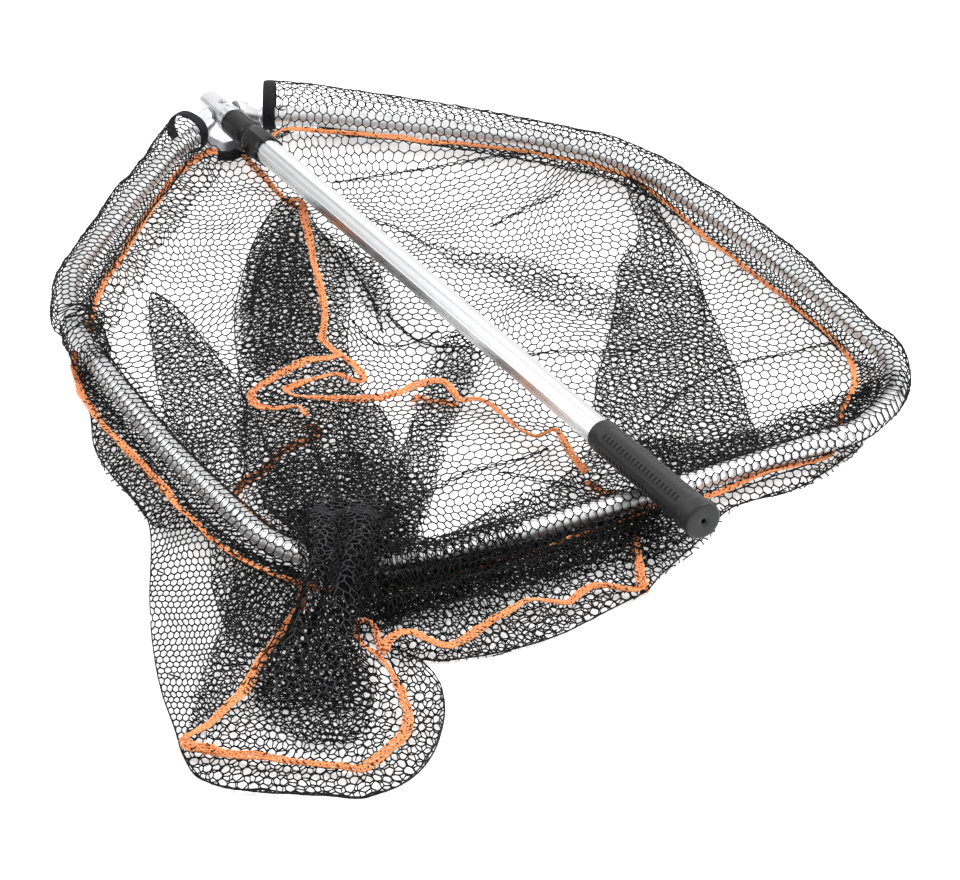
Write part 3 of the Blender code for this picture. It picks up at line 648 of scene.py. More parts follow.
FAN = [
    (313, 757), (352, 784), (387, 829), (407, 873), (402, 911), (382, 937), (352, 934),
    (324, 903), (303, 859), (295, 816), (282, 774)]
LOOP_INSIDE = [
    (455, 872), (410, 843), (383, 826), (344, 800), (303, 806), (295, 843), (303, 902),
    (318, 932), (365, 967), (407, 937), (447, 899)]


# ================================================================= flat layers
def inside(outline, x, y):
    within = np.zeros(len(x), bool)
    for (x0, y0), (x1, y1) in zip(outline, np.roll(outline, -1, axis=0)):
        if y0 != y1:
            crosses = (y0 > y) != (y1 > y)
            within ^= crosses & (x < (x1 - x0) * (y - y0) / (y1 - y0) + x0)
    return within


def drift(x, y, warp, seed):
    """Smooth folds that draw the mesh out of true."""
    return (warp * field(x, y, 150, seed) + 0.45 * warp * field(x, y, 62, seed + 1)
            + 2.6 * field(x, y, 24, seed + 2))


def flat_layer(outline, height, turn, warp, seed, lump=2.2, cell=CELL, follow_hem=True,
               over=0.0, loose=7.0, rim=False, draw=1.42):
    """One layer of the bag: a honeycomb inside an outline, turned back along its edge.

    turn is the lay of the mesh; lump its unevenness in height; over how far it rises over the
    hoop; loose how far the outline strays; rim adds a line of mesh along the outline; draw is
    how many times longer than wide the mesh hangs.
    """
    loop = smooth_path(outline, 2.5, closed=True)
    if not rim:
        x, y = loop.T
        loop = np.stack([x + loose * field(x, y, 80, seed + 50)
                         + 0.4 * loose * field(x, y, 30, seed + 51),
                         y + loose * field(x, y, 80, seed + 52)], 1)
    side = cell / math.sqrt(3)
    middle = (loop.min(0) + loop.max(0)) / 2
    half = np.linalg.norm(loop - middle, axis=1).max() + 40
    comb = Honeycomb(int(2 * half / (side * math.sqrt(3) / 2)) + 1,
                     int(2 * half / (1.5 * side)) + 1, side)
    s, t = comb.s - half, comb.t - half
    x = s * math.cos(turn) - t * math.sin(turn)
    y = s * math.sin(turn) + t * math.cos(turn)
    pull = (x * DRAWN[0] + y * DRAWN[1]) * (draw - 1)
    x, y = middle[0] + x + pull * DRAWN[0], middle[1] + y + pull * DRAWN[1]
    x, y = x + drift(x, y, warp, seed), y + drift(x, y, warp, seed + 3)
    jitter = np.random.default_rng(seed + 900)
    x += jitter.normal(0, 0.045 * cell, len(x))
    y += jitter.normal(0, 0.045 * cell, len(y))

    within = inside(loop, x, y)
    edges = comb.edges()
    used, edges = compact(edges[within[edges].any(axis=1)])
    x, y, outside = x[used], y[used], ~within[used]
    # nodes just outside are drawn back onto the outline
    distance = (x[outside][:, None] - loop[:, 0]) ** 2 + (y[outside][:, None] - loop[:, 1]) ** 2
    nearest = distance.argmin(1)
    x[outside], y[outside] = loop[nearest, 0], loop[nearest, 1]
    if rim:
        order = np.nonzero(outside)[0][np.argsort(nearest, kind="stable")]
        edges = np.concatenate([edges, np.stack([order, np.roll(order, -1)], 1)])

    z = height + lump * (field(x, y, 44, seed + 7) + 0.5 * field(x, y, 18, seed + 8))
    if follow_hem:
        z = z + rise(x, y)
    p = np.stack([x, y, np.maximum(z, 1.0)], 1)
    hoop = near_hoop(p)
    gap = np.hypot(x - hoop[:, 0], y - hoop[:, 1])
    if over > 0:
        p[:, 2] += over * np.exp(-(gap / 26.0) ** 2)
    else:
        p[:, 2] = np.where(gap < 13, np.minimum(p[:, 2], 8.5), p[:, 2])
    p[:, 2] = np.minimum(p[:, 2], np.maximum(under_handle(p), 1.0))
    run = np.linalg.norm(p[edges[:, 0], :2] - p[edges[:, 1], :2], axis=1)
    return p, edges[(run < 2.4 * side * draw) & (run > 0.4)]


bag = {}                         # piece name: its layers, each (points, edges)


def add_layer(piece, points, edges):
    bag.setdefault(piece, []).append((points, edges))


def add_flat_layers(table):
    for piece, outline, height, turn, warp, seed, options in table:
        add_layer(piece, *flat_layer(outline, height, turn, warp, seed, **options))


PLAIN = {}
RIMMED = dict(rim=True)
LIFTED = dict(follow_hem=False)
OVER_NECK = dict(follow_hem=False, over=29, lump=3.0, loose=10)
OVER_BAR = dict(follow_hem=False, over=27, lump=2.4, loose=8)
# piece, outline, height, turn in radians, warp, seed, options
INSIDE_LAYERS = (
    ("net_mouth_floor", [tuple(q[:2]) for q in HEM_LINE[::4]], 3.0, -0.40, 20, 101,
     dict(lump=1.8, loose=0, draw=1.45, cell=7.7)),
    ("net_fold_right", RIGHT_FOLD, 4.6, 0.2, 12, 111, RIMMED),
    ("net_fold_right", RIGHT_FOLD, 6.4, 1.15, 14, 121, PLAIN),
    ("net_fold_right", RIGHT_BAND, 5.0, 0.9, 8, 131, PLAIN),
    ("net_fold_left", LEFT_BAND, 4.6, 0.6, 9, 151, RIMMED),
    ("net_fold_left", LEFT_BAND, 6.2, 1.2, 9, 161, PLAIN),
    ("net_fold_left", LEFT_INSIDE, 5.0, 0.8, 6, 251, PLAIN),
    ("net_fold_middle", MIDDLE, 4.6, 0.9, 12, 171, RIMMED),
    ("net_fold_middle", MIDDLE, 6.2, 0.25, 12, 181, PLAIN),
    ("net_fold_middle", MIDDLE_NEAR, 9.0, 0.5, 8, 191, PLAIN),
    ("net_fold_middle", MIDDLE_FAR, 9.0, 1.4, 8, 201, PLAIN),
    ("net_fold_middle", MIDDLE_CORE, 7.6, 0.1, 7, 207, PLAIN),
    ("net_fold_middle", STRIP, 6.0, 0.1, 5, 211, PLAIN),
    ("net_fold_middle", STRIP, 7.5, 0.9, 5, 213, PLAIN),
    ("net_fold_middle", TWIST, 8.0, 0.6, 7, 221, PLAIN),
    ("net_fold_middle", TWIST, 9.2, 1.2, 7, 223, PLAIN),
    ("net_fold_neck", NECK, 11.0, 0.3, 7, 341, dict(follow_hem=False, over=31, lump=3.0)),
    ("net_fold_neck", NECK, 9.0, -0.4, 7, 343, OVER_NECK),
    ("net_fold_neck", COVER, 7.5, 0.35, 7, 358, OVER_BAR),
    ("net_fold_neck", COVER, 9.0, 1.0, 7, 360, OVER_BAR),
    ("net_fold_neck", COVER, 10.5, -0.2, 7, 361, OVER_BAR),
    ("net_fold_neck", COVER_CORE, 11.5, 0.7, 6, 371, dict(OVER_BAR, loose=9)),
    ("net_fold_bar", BAR_INSIDE, 5.5, 0.2, 8, 231, PLAIN),
    ("net_fold_bar", BAR_INSIDE, 7.0, 1.0, 8, 233, PLAIN),
    ("net_fold_bar", BAR_INSIDE_RIGHT, 5.5, 0.2, 7, 241, PLAIN),
    ("net_fold_bar", BAR_INSIDE_RIGHT, 7.0, 1.1, 7, 243, PLAIN),
    ("net_fold_bar", BAR_INSIDE_RIGHT, 8.4, 0.6, 7, 247, PLAIN),
)
OUTSIDE_LAYERS = (
    ("net_thrown_folds", THROWN_FOLD, 4.4, 0.95, 9, 271, RIMMED),
    ("net_thrown_folds", THROWN_FOLD, 6.0, 0.4, 9, 273, PLAIN),
    ("net_thrown_folds", LOBE, 4.6, 1.2, 9, 281, PLAIN),
    ("net_thrown_folds", LOBE, 6.2, 0.2, 9, 283, PLAIN),
    ("net_thrown_rim", RIM, 5.6, -0.1, 9, 291, dict(lump=3.0, draw=1.6, cell=8.8, rim=True)),
    ("net_thrown_dark", DARK, 5.0, 0.5, 8, 301, PLAIN),
    ("net_thrown_dark", DARK, 7.0, 1.1, 8, 303, PLAIN),
    ("net_thrown_dark", DARK, 9.0, 0.1, 8, 305, PLAIN),
    ("net_thrown_dark", DARK, 11.0, 0.8, 8, 307, dict(lump=3.5)),
    ("net_thrown_dark", DARK, 12.5, -0.3, 8, 309, dict(lump=3.5, loose=9)),
    ("net_thrown_dark", UNDER_DARK, 4.4, 0.9, 9, 311, PLAIN),
    ("net_thrown_dark", UNDER_DARK, 5.8, 0.3, 9, 313, dict(loose=10)),
    ("net_thrown_dark", LOOP_INSIDE, 4.4, 0.2, 9, 317, LIFTED),
    ("net_thrown_dark", FAN, 6.0, 0.7, 7, 321, LIFTED),
    ("net_thrown_dark", FAN, 7.4, 1.3, 7, 323, LIFTED),
)


def add_thrown_out():
    """The layer outside the hoop: small drawn-out cells, and open ones beyond the tape."""
    for cell, draw, way in ((5.0, 1.9, 1.0), (7.2, 1.6, -1.0)):
        p, edges = flat_layer(THROWN_OUT, height=2.6, turn=-0.45, warp=14, seed=261, lump=1.4,
                              rim=True, draw=draw, cell=cell)
        middle = (p[edges[:, 0], :2] + p[edges[:, 1], :2]) / 2
        seam_y = 880 + (middle[:, 0] - 477) * 0.681
        beyond = np.maximum(middle[:, 1] - seam_y, 280 - middle[:, 0])
        add_layer("net_thrown_out", p, edges[way * beyond < 2.5])


add_flat_layers(INSIDE_LAYERS)
add_thrown_out()
add_flat_layers(OUTSIDE_LAYERS)


# ================================================================= narrow folds
def pleat_strip(points, width, height, rows, seed, swing):
    """A narrow fold: the mesh drawn together along a line, a few rows wide."""
    line = resample(smooth_path(points, 4.0), step=CELL / 2)
    n = len(line)
    t = np.gradient(line, axis=0)
    t /= np.maximum(np.linalg.norm(t, axis=1, keepdims=True), 1e-9)
    across = np.stack([t[:, 1], -t[:, 0]], 1)
    comb = Honeycomb(n, rows)
    i, j = comb.i, comb.j
    rng = np.random.default_rng(seed)
    share = i / (n - 1)
    taper = np.sqrt(np.clip(np.sin(np.pi * share), 0.02, 1))
    wobble = wander(share, n, 6, seed, fewest=3)
    off = (((j + 0.25 * comb.sway) / (rows - 1) - 0.5) * width * taper
           * (1 + 0.35 * wobble) + rng.normal(0, 0.5, len(i)))
    p = np.zeros((len(i), 3))
    p[:, :2] = (line[i] + across[i] * off[:, None]
                + t[i] * rng.normal(0, 0.7, len(i))[:, None])
    z = height + swing * np.where(j % 2 == 0, 1, -0.3) + rng.normal(0, 0.5, len(i))
    p[:, 2] = np.minimum(np.maximum(z, 1.0), np.maximum(under_handle(p), 1.0))
    add_layer("net_thin_folds", p, comb.edges())


# width, rows of mesh, line in plan
THIN_FOLDS = (
    (1.8, 2, [(-44, 138), (-87, 146), (-144, 156), (-202, 165), (-238, 176)]),
    (2.4, 2, [(-27, 204), (-45, 223), (-56, 250), (-63, 288)]),
    (4.0, 3, [(-273, 316), (-264, 375), (-254, 421), (-232, 471), (-209, 518)]),
    (2.4, 2, [(3, 422), (45, 428), (62, 405), (61, 370)]),
    (3.0, 3, [(28, 369), (29, 417), (15, 445), (-8, 457)]),
    (2.4, 2, [(173, 664), (136, 648), (92, 637), (47, 640), (17, 636)]),
    (2.2, 2, [(71, 649), (48, 676), (27, 705)]),
    (2.6, 2, [(-128, 279), (-178, 263), (-216, 252)]),
    (1.8, 2, [(-64, 650), (-103, 625), (-153, 601), (-187, 594), (-245, 598), (-292, 604)]),
    (1.6, 2, [(-46, 494), (-72, 502), (-102, 519), (-133, 534)]),
)
# pleats that lie along the dark folds: width, line in plan
PLEATS = (
    (4.4, [(19, 177), (74, 256), (122, 337), (157, 400)]),
    (3.6, [(22, 196), (72, 279), (116, 360)]),
    (3.2, [(53, 203), (103, 273), (152, 352)]),
    (3.0, [(13, 256), (24, 316), (35, 362), (51, 407)]),
    (5.0, [(99, 551), (147, 621), (182, 677)]),
    (4.4, [(153, 521), (177, 605), (204, 682)]),
    (4.0, [(180, 516), (204, 590), (219, 656)]),
    (3.6, [(217, 496), (232, 555), (243, 615)]),
)
for k, (width, rows, line) in enumerate(THIN_FOLDS):
    pleat_strip(line, width, height=4.2, rows=rows, seed=400 + k, swing=0.6)
for k, (width, line) in enumerate(PLEATS):
    pleat_strip(line, width, height=9.5, rows=3, seed=450 + k, swing=0.8)


# ================================================================= bunches
def gather(piece, middle, widths, depths, count_across, count_along, pleats, seed):
    """A sheet drawn together into pleats along a middle line (x, y, z)."""
    comb = Honeycomb(count_across, count_along)
    u = comb.s / comb.s.max()
    v = comb.t / comb.t.max()
    knots = np.linspace(0, 1, len(middle))
    rows = np.c_[knots, middle]
    centre, ahead, behind = (curve_through(rows, np.clip(v + step, 0, 1))
                             for step in (0, 0.02, -0.02))
    width = np.interp(v, knots, widths)
    depth = np.interp(v, knots, depths)
    t = ahead - behind
    t /= np.maximum(np.linalg.norm(t[:, :2], axis=1), 1e-6)[:, None]
    side = np.stack([t[:, 1], -t[:, 0], np.zeros(len(v))], 1)
    pleat = (np.sin(u * math.pi * 2 * pleats + 1.6 * noise2(u, v, 5, 6, seed))
             + 0.45 * noise2(u, v, 30, 14, seed + 1))
    bow = 1 - (2 * u - 1) ** 2
    off = (u - 0.5) * width + 0.05 * width * noise2(u, v, 14, 10, seed + 2)
    p = centre + side * off[:, None] + t * (5 * noise2(u, v, 9, 12, seed + 4))[:, None]
    p[:, 2] = np.maximum(p[:, 2] + pleat * depth * 0.5 + bow * depth * 0.6, 2.0)
    p = push_off_tube(p, TUBE_RADIUS + 1.6)
    p[:, 2] = np.maximum(p[:, 2], 2.0)
    # ragged ends
    edges = comb.edges_by_turns()
    edge_u = 0.5 * (u[edges[:, 0]] + u[edges[:, 1]])
    edge_v = 0.5 * (v[edges[:, 0]] + v[edges[:, 1]])
    ragged = 0.055 + 0.045 * noise2(edge_u, edge_v * 0, 7, 1, seed + 9)
    add_layer(piece, p, edges[(edge_v > ragged) & (edge_v < 1 - ragged * 0.8)])


# middle line of the bunch that crosses the hoop's far +X corner
CORNER_BUNCH = np.array([
    (198, 626, 5), (216, 656, 11), (236, 686, 24), (262, 733, 38), (285, 769, 43),
    (303, 792, 33), (324, 817, 18), (354, 852, 11), (384, 886, 7)])
# piece, shift of the line, widths, pleat depths, nodes across and along, pleats, seed
CORNER_SHEETS = (
    ("net_bunch_top", (0, 0, 4.5), (56, 54, 51, 48, 46, 47, 50, 54, 58),
     (2, 3, 5, 7, 8, 7, 6, 5, 3), 12, 40, 1.4, 525),
    ("net_bunch", (0, 0, 0), (76, 72, 66, 56, 49, 52, 60, 72, 80),
     (3, 5, 8, 11, 12, 11, 9, 7, 3), 18, 44, 2.5, 501),
    ("net_bunch", (-4, 0, -2), (100, 88, 80, 64, 54, 60, 74, 88, 96),
     (2, 4, 7, 10, 11, 10, 8, 6, 3), 24, 42, 3.5, 511),
    ("net_bunch", (5, 0, -1), (104, 96, 84, 68, 52, 58, 70, 84, 92),
     (2, 4, 7, 9, 10, 9, 7, 5, 3), 30, 40, 4.5, 521),
)
for piece, shift, *settings in CORNER_SHEETS:
    gather(piece, CORNER_BUNCH + shift, *settings)
# two sheets along the outer side of the far bar
gather("net_bunch_bar", [(290, 800, 20), (240, 792, 20), (190, 792, 17), (140, 796, 15),
                         (90, 792, 13), (40, 786, 12), (-10, 784, 10)],
       widths=(56, 58, 54, 48, 40, 32, 24), depths=(12, 11, 10, 8, 7, 6, 4),
       count_across=22, count_along=70, pleats=3.0, seed=531)
gather("net_bunch_bar", [(296, 806, 14), (240, 800, 14), (190, 798, 12), (140, 800, 11),
                         (90, 796, 9), (40, 788, 8), (-20, 786, 7)],
       widths=(70, 70, 64, 56, 46, 36, 26), depths=(9, 9, 8, 7, 6, 5, 3),
       count_across=20, count_along=64, pleats=2.5, seed=541)

# strand and knot radius of the pieces that differ from the flat layers
STRAND_SIZES = {
    "net_thrown_out": (STRAND * 1.2, STRAND * 1.45),
    "net_thrown_rim": (0.52, 0.52 * 1.32),
    "net_thin_folds": (0.46, 0.46 * 1.3),
    "net_bunch_top": (0.6, 0.6 * 1.35),
    "net_bunch": (STRAND, STRAND * 1.35),
    "net_bunch_bar": (STRAND, STRAND * 1.35),
}


def build_bag():
    """Joins the layers of each piece into objects."""
    made = []
    for piece, layers in bag.items():
        starts = np.cumsum([0] + [len(p) for p, _ in layers])
        points = np.concatenate([p for p, _ in layers])
        edges = np.concatenate([e + start for (_, e), start in zip(layers, starts)])
        radius, knot = STRAND_SIZES.get(piece, (STRAND, STRAND * 1.32))
        # the bunch's top sheet takes the lighter copy of the net's colour, painted light
        finish = "net_mesh_painted_light" if piece == "net_bunch_top" else "net_mesh"
        made += net_pieces(piece, points, edges, radius, knot, finish)
    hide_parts("net_bag")


build_bag()

# ================================================================= sleeve round the hoop tube
HOOP_LENGTHS = lengths_along(HOOP)
HOOP_END = HOOP_LENGTHS[-1]


def hoop_points(s):
    s = np.clip(s, 0, HOOP_END)
    return np.stack([np.interp(s, HOOP_LENGTHS, HOOP[:, axis]) for axis in (0, 1)], 1)


def along_hoop(s):
    """Places and unit directions at lengths along the hoop."""
    s = np.clip(s, 0, HOOP_END)
    t = hoop_points(s + 4) - hoop_points(s - 4)
    return hoop_points(s), t / np.linalg.norm(t, axis=1, keepdims=True)


def hoop_length_at(x, y):
    return HOOP_LENGTHS[((HOOP - np.array([x, y])) ** 2).sum(1).argmin()]


# lengths along the hoop that match shares of the hem, evened out over 41 samples
HEM_SHARES = np.linspace(0.006, 0.995, 900)
raw = np.maximum.accumulate(np.array(
    [hoop_length_at(*q[:2]) for q in curve_through(HEM, HEM_SHARES)]))
HEM_LENGTHS = np.convolve(np.r_[np.full(20, raw[0]), raw, np.full(20, raw[-1])],
                          np.ones(41) / 41, "valid") + np.linspace(0, 0.01, 900)


def sleeve_part(name, start, end, rows, profile, seed, node=None, rough=1.0, close=1.0):
    """A tube of mesh round the hoop between two lengths along it, closed by the hem."""
    n = int(round((end - start) / (SIDE * math.sqrt(3) / 2 * close))) + 1
    comb = Honeycomb(n, rows)
    way, turn = np.meshgrid(np.linspace(0, 1, n), np.linspace(0, 1, 97), indexing="ij")
    share = way[:, 0]
    s = start + (end - start) * share
    centre, t = along_hoop(s)
    outward = np.stack([t[:, 1], -t[:, 0]], 1)
    hem_share = np.interp(np.clip(s, 14.0, HOOP_END - 10.0), HEM_LENGTHS, HEM_SHARES)
    hem = curve_through(HEM, hem_share)
    hem_x = ((hem[:, :2] - centre) * outward).sum(1)[:, None]
    hem_z = hem[:, 2][:, None]
    profile = np.array(sorted(profile), float)
    off, centre_z, half_width, half_height = (
        np.interp(s, profile[:, 0], profile[:, k])[:, None] for k in (1, 2, 3, 4))
    off = off + 1.4 * rough * wander(share, n, 9, seed, fewest=3)[:, None]
    waves = max(3, n // 7)
    half_width = half_width * (1 + 0.035 * rough * noise2(way, turn, waves, 3, seed + 1))
    half_height = half_height * (1 + 0.035 * rough * noise2(way, turn, waves, 3, seed + 2))
    first = np.arctan2(hem_z - centre_z, hem_x - off)
    over_the_top = np.where(hem_x < off, -1.0, 1.0)
    angle = first + over_the_top * 2 * math.pi * turn
    # the skirt that joins the round part to the hem
    blend = smoothstep(np.minimum(turn, 1 - turn), 0, 0.13)
    x = hem_x * (1 - blend) + (off + half_width * np.cos(angle)) * blend
    z = hem_z * (1 - blend) + (centre_z + half_height * np.sin(angle)) * blend
    # even spacing of the mesh round it
    steps = np.hypot(np.diff(x, axis=1), np.diff(z, axis=1))
    run = np.concatenate([np.zeros((n, 1)), np.cumsum(steps, axis=1)], 1)
    run /= run[:, -1:]
    v = comb.s / comb.s.max()
    f = np.clip(comb.t / comb.t.max(), 0, 1)
    across, height = np.zeros(len(v)), np.zeros(len(v))
    for k in range(n):
        column = comb.i == k
        across[column] = np.interp(f[column], run[k], x[k])
        height[column] = np.interp(f[column], run[k], z[k])
    across += 0.8 * rough * noise2(v, f, n // 2, rows, seed + 3)
    height += 0.8 * rough * noise2(v, f, n // 2, rows, seed + 4)
    # keep off the tube
    clear = TUBE_RADIUS + 0.95
    up = height - HOOP_Z
    distance = np.hypot(across, up)
    hit = distance < clear
    height = np.where(hit, HOOP_Z + up / distance * clear, height)
    across = np.where(hit, across / distance * clear, across)
    p = np.c_[centre[comb.i] + outward[comb.i] * across[:, None], np.maximum(height, 1.0)]
    edges = comb.edges_by_turns()
    edges = edges[np.argsort(v[edges[:, 0]], kind="stable")]
    made = net_pieces(name, p, edges, STRAND, STRAND * 1.35)
    if node:
        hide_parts(node)


TIGHT_START = hoop_length_at(303, 345)       # between these two the sleeve is tight
TIGHT_END = hoop_length_at(-282, 700)
CORNER = hoop_length_at(262, 752)
# length along the hoop, centre outwards of the tube, centre height, half width, half height
LEFT_SLEEVE = (
    (0, 9.8, 19.6, 19.8, 18.4), (18, 6, 20.2, 18.8, 18.6), (40, 0, 20.6, 19.2, 19.0),
    (70, -4.5, 20.8, 19.4, 19.2), (130, -4.0, 21, 19.5, 19.4), (190, -5.9, 21, 19.5, 19.4),
    (220, -8.4, 21, 19.4, 19.2), (250, -9.2, 21, 19.2, 19.0), (370, -9.0, 20.8, 19.0, 18.8),
    (400, -4.5, 20.8, 18.6, 18.4), (430, 0.5, 20.6, 17.8, 17.4),
    (TIGHT_START - 70, 1.0, 20.3, 16.6, 16.2), (TIGHT_START - 36, 1.5, 20, 14.2, 13.8),
    (TIGHT_START, 1.0, 20, 12.4, 12.0), (TIGHT_START + 30, 0, 20, 11, 10.8))
TIGHT_SLEEVE = (
    (TIGHT_START - 20, -1, 20, 12.0, 11.5), (TIGHT_START + 40, -0.6, 20, 10.8, 10.6),
    (TIGHT_END - 60, -0.6, 20, 10.6, 10.4), (TIGHT_END - 10, -1.0, 20, 11.5, 11.0))
RIGHT_SLEEVE = (
    (TIGHT_END - 40, 0, 20, 12.0, 11.6), (TIGHT_END, -1, 20.5, 14.5, 14),
    (TIGHT_END + 50, -4, 20.8, 17.5, 17), (HOOP_END - 730, -9.4, 21, 19.2, 18.8),
    (HOOP_END - 690, -9.2, 21, 19.5, 19.2), (HOOP_END - 650, -8.2, 21, 19.5, 19.4),
    (HOOP_END - 610, -4.6, 21, 19.5, 19.4), (HOOP_END - 530, -1.5, 21, 19.6, 19.5),
    (HOOP_END - 450, 0.1, 21, 19.6, 19.5), (HOOP_END - 370, -2.1, 21, 19.5, 19.5),
    (HOOP_END - 290, -3.4, 21, 19.5, 19.5), (HOOP_END - 250, -2.7, 21.2, 19.5, 19.5),
    (HOOP_END - 210, 4.0, 21.4, 19.6, 19.6), (HOOP_END - 170, 8.1, 21.6, 19.8, 19.8),
    (HOOP_END - 130, 10.2, 22, 20.2, 20.2), (HOOP_END - 90, 11.2, 22.2, 21.4, 20.8),
    (HOOP_END - 50, 12.8, 22.6, 22.9, 21.4), (HOOP_END - 16, 15.0, 23.0, 25.0, 22.0),
    (HOOP_END, 15.4, 23.2, 25.4, 22.2))
sleeve_part("net_sleeve_left_side", 2.0, TIGHT_START + 14, rows=18, profile=LEFT_SLEEVE,
            seed=41, node="net_sleeve_left")
sleeve_part("net_sleeve_far_bar", CORNER - 8, TIGHT_END - 4, rows=10, profile=TIGHT_SLEEVE,
            seed=47, node="net_sleeve_far", rough=0.5)
sleeve_part("net_sleeve_left_bar", TIGHT_START - 16, CORNER, rows=13, profile=TIGHT_SLEEVE,
            seed=49, rough=0.5, close=1.05)
sleeve_part("net_sleeve_right_side", TIGHT_END - 34, HOOP_END - 2, rows=19,
            profile=RIGHT_SLEEVE, seed=53, node="net_sleeve_right")


# ================================================================= knitted tapes
def tape_frames(curve, seed, twist):
    """Across and normal directions of a limp, mostly flat tape along a curve."""
    t = np.gradient(curve, axis=0)
    t /= np.maximum(np.linalg.norm(t, axis=1, keepdims=True), 1e-9)
    side = np.cross(t, np.tile(np.array([0.0, 0, 1.0]), (len(curve), 1)))
    side /= np.maximum(np.linalg.norm(side, axis=1, keepdims=True), 1e-9)
    normal = np.cross(side, t)
    share = np.linspace(0, 1, len(curve))
    length = np.linalg.norm(np.diff(curve, axis=0), axis=1).sum()
    angle = wander(share, length, 46, seed, fewest=3) * twist
    cos, sin = np.cos(angle)[:, None], np.sin(angle)[:, None]
    return side * cos + normal * sin, -side * sin + normal * cos


def knit_tape(name, curve, width, seed, twist, lift, slot="orange_tape", cords=4, gathers=0.5):
    """Openwork tape: chain-stitch cords along it, tied by zigzag threads."""
    pitch, cord_radius, lowest = 2.6, 0.86, 1.3
    c = resample(curve, step=pitch)
    c[:, 2] += lift
    across, normal = tape_frames(c, seed, twist)
    n = len(c)
    share = np.linspace(0, 1, n)
    length = pitch * n
    odd = np.arange(n) % 2
    narrowing = wander(share, length, 15, seed + 5) * gathers
    widening = wander(share, length, 55, seed + 6) * 0.22
    rng = np.random.default_rng(seed + 77)
    points = []
    for k in range(cords):
        place = k / (cords - 1) - 0.5
        sway = wander(share, length, 8, seed + 11 + k) * 0.7 + rng.normal(0, 0.22, n)
        curl = wander(share, length, 30, seed + 31) * 1.6 * (abs(place) * 2) ** 2
        zigzag = (0.42 if k % 2 else -0.42) * np.where(odd == 0, 1.0, -1.0)
        off = place * width * (1 + 0.12 * narrowing + widening) + sway + zigzag
        raised = curl + 0.35 * odd + rng.normal(0, 0.18, n)
        points.append(c + across * off[:, None] + normal * raised[:, None])
    p = np.concatenate(points)
    p[:, 2] = np.maximum(p[:, 2], lowest)
    i = np.arange(n - 1)
    cord_edges = [np.stack([k * n + i, k * n + i + 1], 1) for k in range(cords)]
    ties = []
    for k in range(cords - 1):
        up, down = i[i % 2 == k % 2], i[i % 2 != k % 2]
        ties.append(np.stack([k * n + up, (k + 1) * n + up + 1], 1))
        ties.append(np.stack([(k + 1) * n + down, k * n + down + 1], 1))
    tape = strands(name, p, np.concatenate(cord_edges), cord_radius * 0.80, cord_radius * 1.15,
                   slot)
    strands(name + "_ties", p, np.concatenate(ties), 0.62, 0.74, slot)
    if slot == "orange_tape":
        # black thread that stitches the mesh to the tape: short stitches at either edge
        m = np.arange(0, n - 2, 2)
        often = 0.6 + 0.4 * np.sign(wander(share[m], length, 22, seed + 91))
        m = m[rng.random(len(m)) < often]
        first_edge = rng.random(len(m)) < 0.5
        outer = np.where(first_edge, 0, cords - 1)
        inner = np.where(first_edge, 1, cords - 2)
        ends = np.concatenate([p[outer * n + m] + normal[m] * 0.9,
                               p[inner * n + m + 1] + normal[m] * 1.0])
        pairs = np.stack([np.arange(len(m)), np.arange(len(m)) + len(m)], 1)
        strands(name + "_stitches", ends, pairs, 0.56, 0.46, "black_tape")
    return tape


def hem_path(start, end):
    return curve_through(HEM, np.linspace(start, end, 900)) + np.array([0, 0, 0.8])


def lowered(points, drop):
    return smooth_path([(x, y, max(z - drop, 1.3)) for x, y, z in points])


# lines of the tapes (x, y, z)
BASE_LINE = [
    (101, 429, 7), (100, 450, 7), (107, 477, 9), (112, 465, 5), (117, 449, 4), (139, 448, 4),
    (160, 452, 5), (171, 457, 6), (166, 470, 7), (144, 487, 8), (117, 504, 8), (96, 508, 8),
    (76, 507, 10), (60, 509, 12), (50, 514, 12), (48, 527, 9), (48, 540, 6), (37, 544, 7),
    (30, 559, 8), (30, 583, 8), (29, 610, 7), (23, 626, 7), (14, 627, 9), (5, 625, 10),
    (4, 636, 8), (11, 665, 6), (14, 693, 5), (9, 715, 5), (-1, 726, 5), (-3, 739, 4),
    (11, 770, 4), (32, 802, 6), (41, 826, 6), (58, 862, 7), (67, 864, 5), (79, 851, 5),
    (91, 841, 5), (106, 846, 6), (124, 854, 6), (136, 843, 5), (149, 837, 6), (168, 841, 5),
    (186, 844, 4), (205, 852, 4), (224, 861, 4), (239, 862, 6), (249, 852, 9), (257, 841, 12),
    (267, 839, 14), (277, 844, 16), (286, 851, 17), (291, 858, 17)]
BASE_LINE_LEFT = [
    (102, 430, 8), (119, 429, 9), (136, 425, 9), (159, 430, 8), (182, 438, 7), (199, 449, 7),
    (204, 467, 6), (191, 478, 5), (173, 484, 5), (174, 500, 5), (170, 514, 4), (181, 524, 4),
    (196, 524, 4), (212, 529, 5), (232, 544, 5), (253, 554, 5), (270, 564, 5), (280, 578, 5),
    (279, 598, 5), (276, 621, 5), (277, 645, 5), (280, 671, 6)]
UNDER_LINE = [(77, 511, 5), (69, 522, 5), (60, 531, 5), (53, 543, 5)]
RING_LINE = [
    (294, 861, 17), (292, 851, 18), (287, 838, 19), (283, 824, 20), (285, 815, 20),
    (292, 814, 20), (299, 825, 19), (302, 838, 18), (299, 850, 17), (296, 864, 15),
    (297, 881, 13), (302, 899, 11)]
LOOP_LINE = [
    (302, 899, 11), (306, 915, 8), (311, 932, 6), (323, 950, 5), (340, 960, 5), (359, 969, 5),
    (375, 974, 5), (388, 962, 5), (411, 945, 5), (434, 927, 5), (453, 910, 5), (470, 893, 5),
    (477, 880, 5)]
